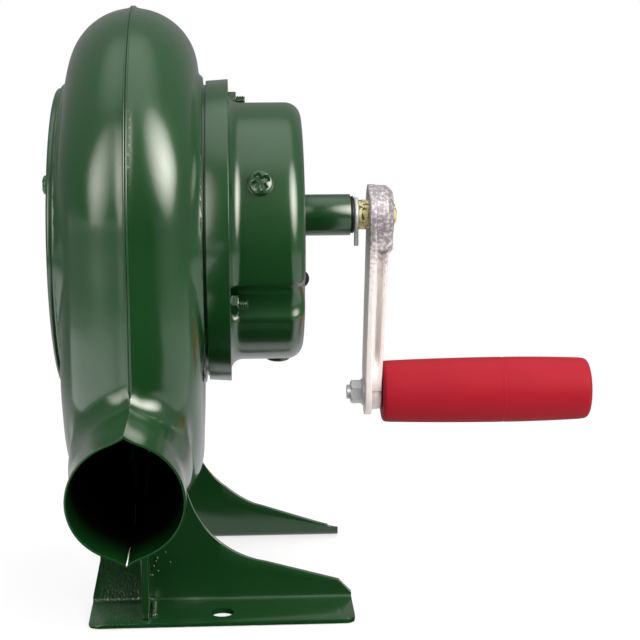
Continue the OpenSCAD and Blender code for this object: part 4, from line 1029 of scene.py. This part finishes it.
# grip: moulded barrel with a fine parting ridge and soft ends
grip = {"start": 99.4, "length": 87.2, "fat": 0.58, "radius": 13.7, "end": 12.8, "bore": 3.1, "pocket": 6.25}
gripStart, gripEnd = grip["start"], grip["start"] + grip["length"]
mid = gripStart + grip["fat"] * grip["length"]
profile = [(gripStart + 0.02, grip["bore"])] + [(gripStart + 0.02 + 1.7 * (1 - math.cos(t)),
        grip["end"] - 1.9 + 1.9 * math.sin(t)) for t in np.linspace(0, math.pi / 2, 7)]
for x in np.linspace(gripStart + 3, gripEnd - 4, 40):
    u = (x - gripStart) / (mid - gripStart) if x < mid else (gripEnd - x) / (gripEnd - mid)
    profile.append((x, grip["end"] + (grip["radius"] - grip["end"]) * (1 - (1 - min(u, 1)) ** 2)))
profile += [(mid - 0.35, grip["radius"] - 0.02), (mid - 0.12, grip["radius"]), (mid + 0.05, grip["radius"] - 0.14),
            (mid + 0.3, grip["radius"] - 0.12)]
profile = sorted(profile[1:], key=lambda p: p[0])
profile = [(gripStart + 0.02, grip["bore"])] + profile
profile += [(gripEnd - 0.02 - 2.4 * (1 - math.sin(t)), grip["end"] - 2.4 + 2.4 * math.cos(t)) for t in np.linspace(0,
        math.pi / 2, 8)]
profile += [(gripEnd - 0.02, grip["pocket"] + 0.5), (gripEnd - 0.5, grip["pocket"]), (gripEnd - 7, grip["pocket"]),
            (gripEnd - 7, grip["bore"])]
mesh = cleaned(meshOf("grip", *lathe(profile, (crankY, gripZ), 128)))
endPiece("grip.barrel", mesh, "grip", sharp=50)
print("grip moulded")

for node, width in (("crank_sleeve", 0.35), ("crank_shaft", 0.25), ("thrust_washer", 0.2), ("shaft_clip", 0.05),
                    ("arm_screw", 0.15),
                    ("grip_bolt", 0.25), ("idler_pin_screw", 0.15)):
    softened(node, width)


def insideCollar(spots):  # the plate's rim drawn in to clear the flared collar
    reach = np.maximum(np.hypot(spots[:, 1], spots[:, 2]), 1)
    return spots * np.column_stack((np.ones(len(spots)), *[1 - 1.15 * easeIn(reach, 52, 58) / reach] * 2))


softened("gear_plate", 0.2, reshape=insideCollar)
nut = joined(hexNut(8.7, 5.0, 3.05), shifted(lathe(rounded([(4.4, 3.05, 0), (4.4, 5.2, 0.2), (5.1, 5.74, 0.2),
        (5.6, 5.74, 0.2), (5.6, 3.05, 0)]), (0, 0), 64)))
mesh = cleaned(meshOf("nut", *shifted(nut, 86.45, crankY, gripZ)))
endPiece("grip_nut.flanged", mesh, "grip_nut", sharp=25)
print("small parts softened")
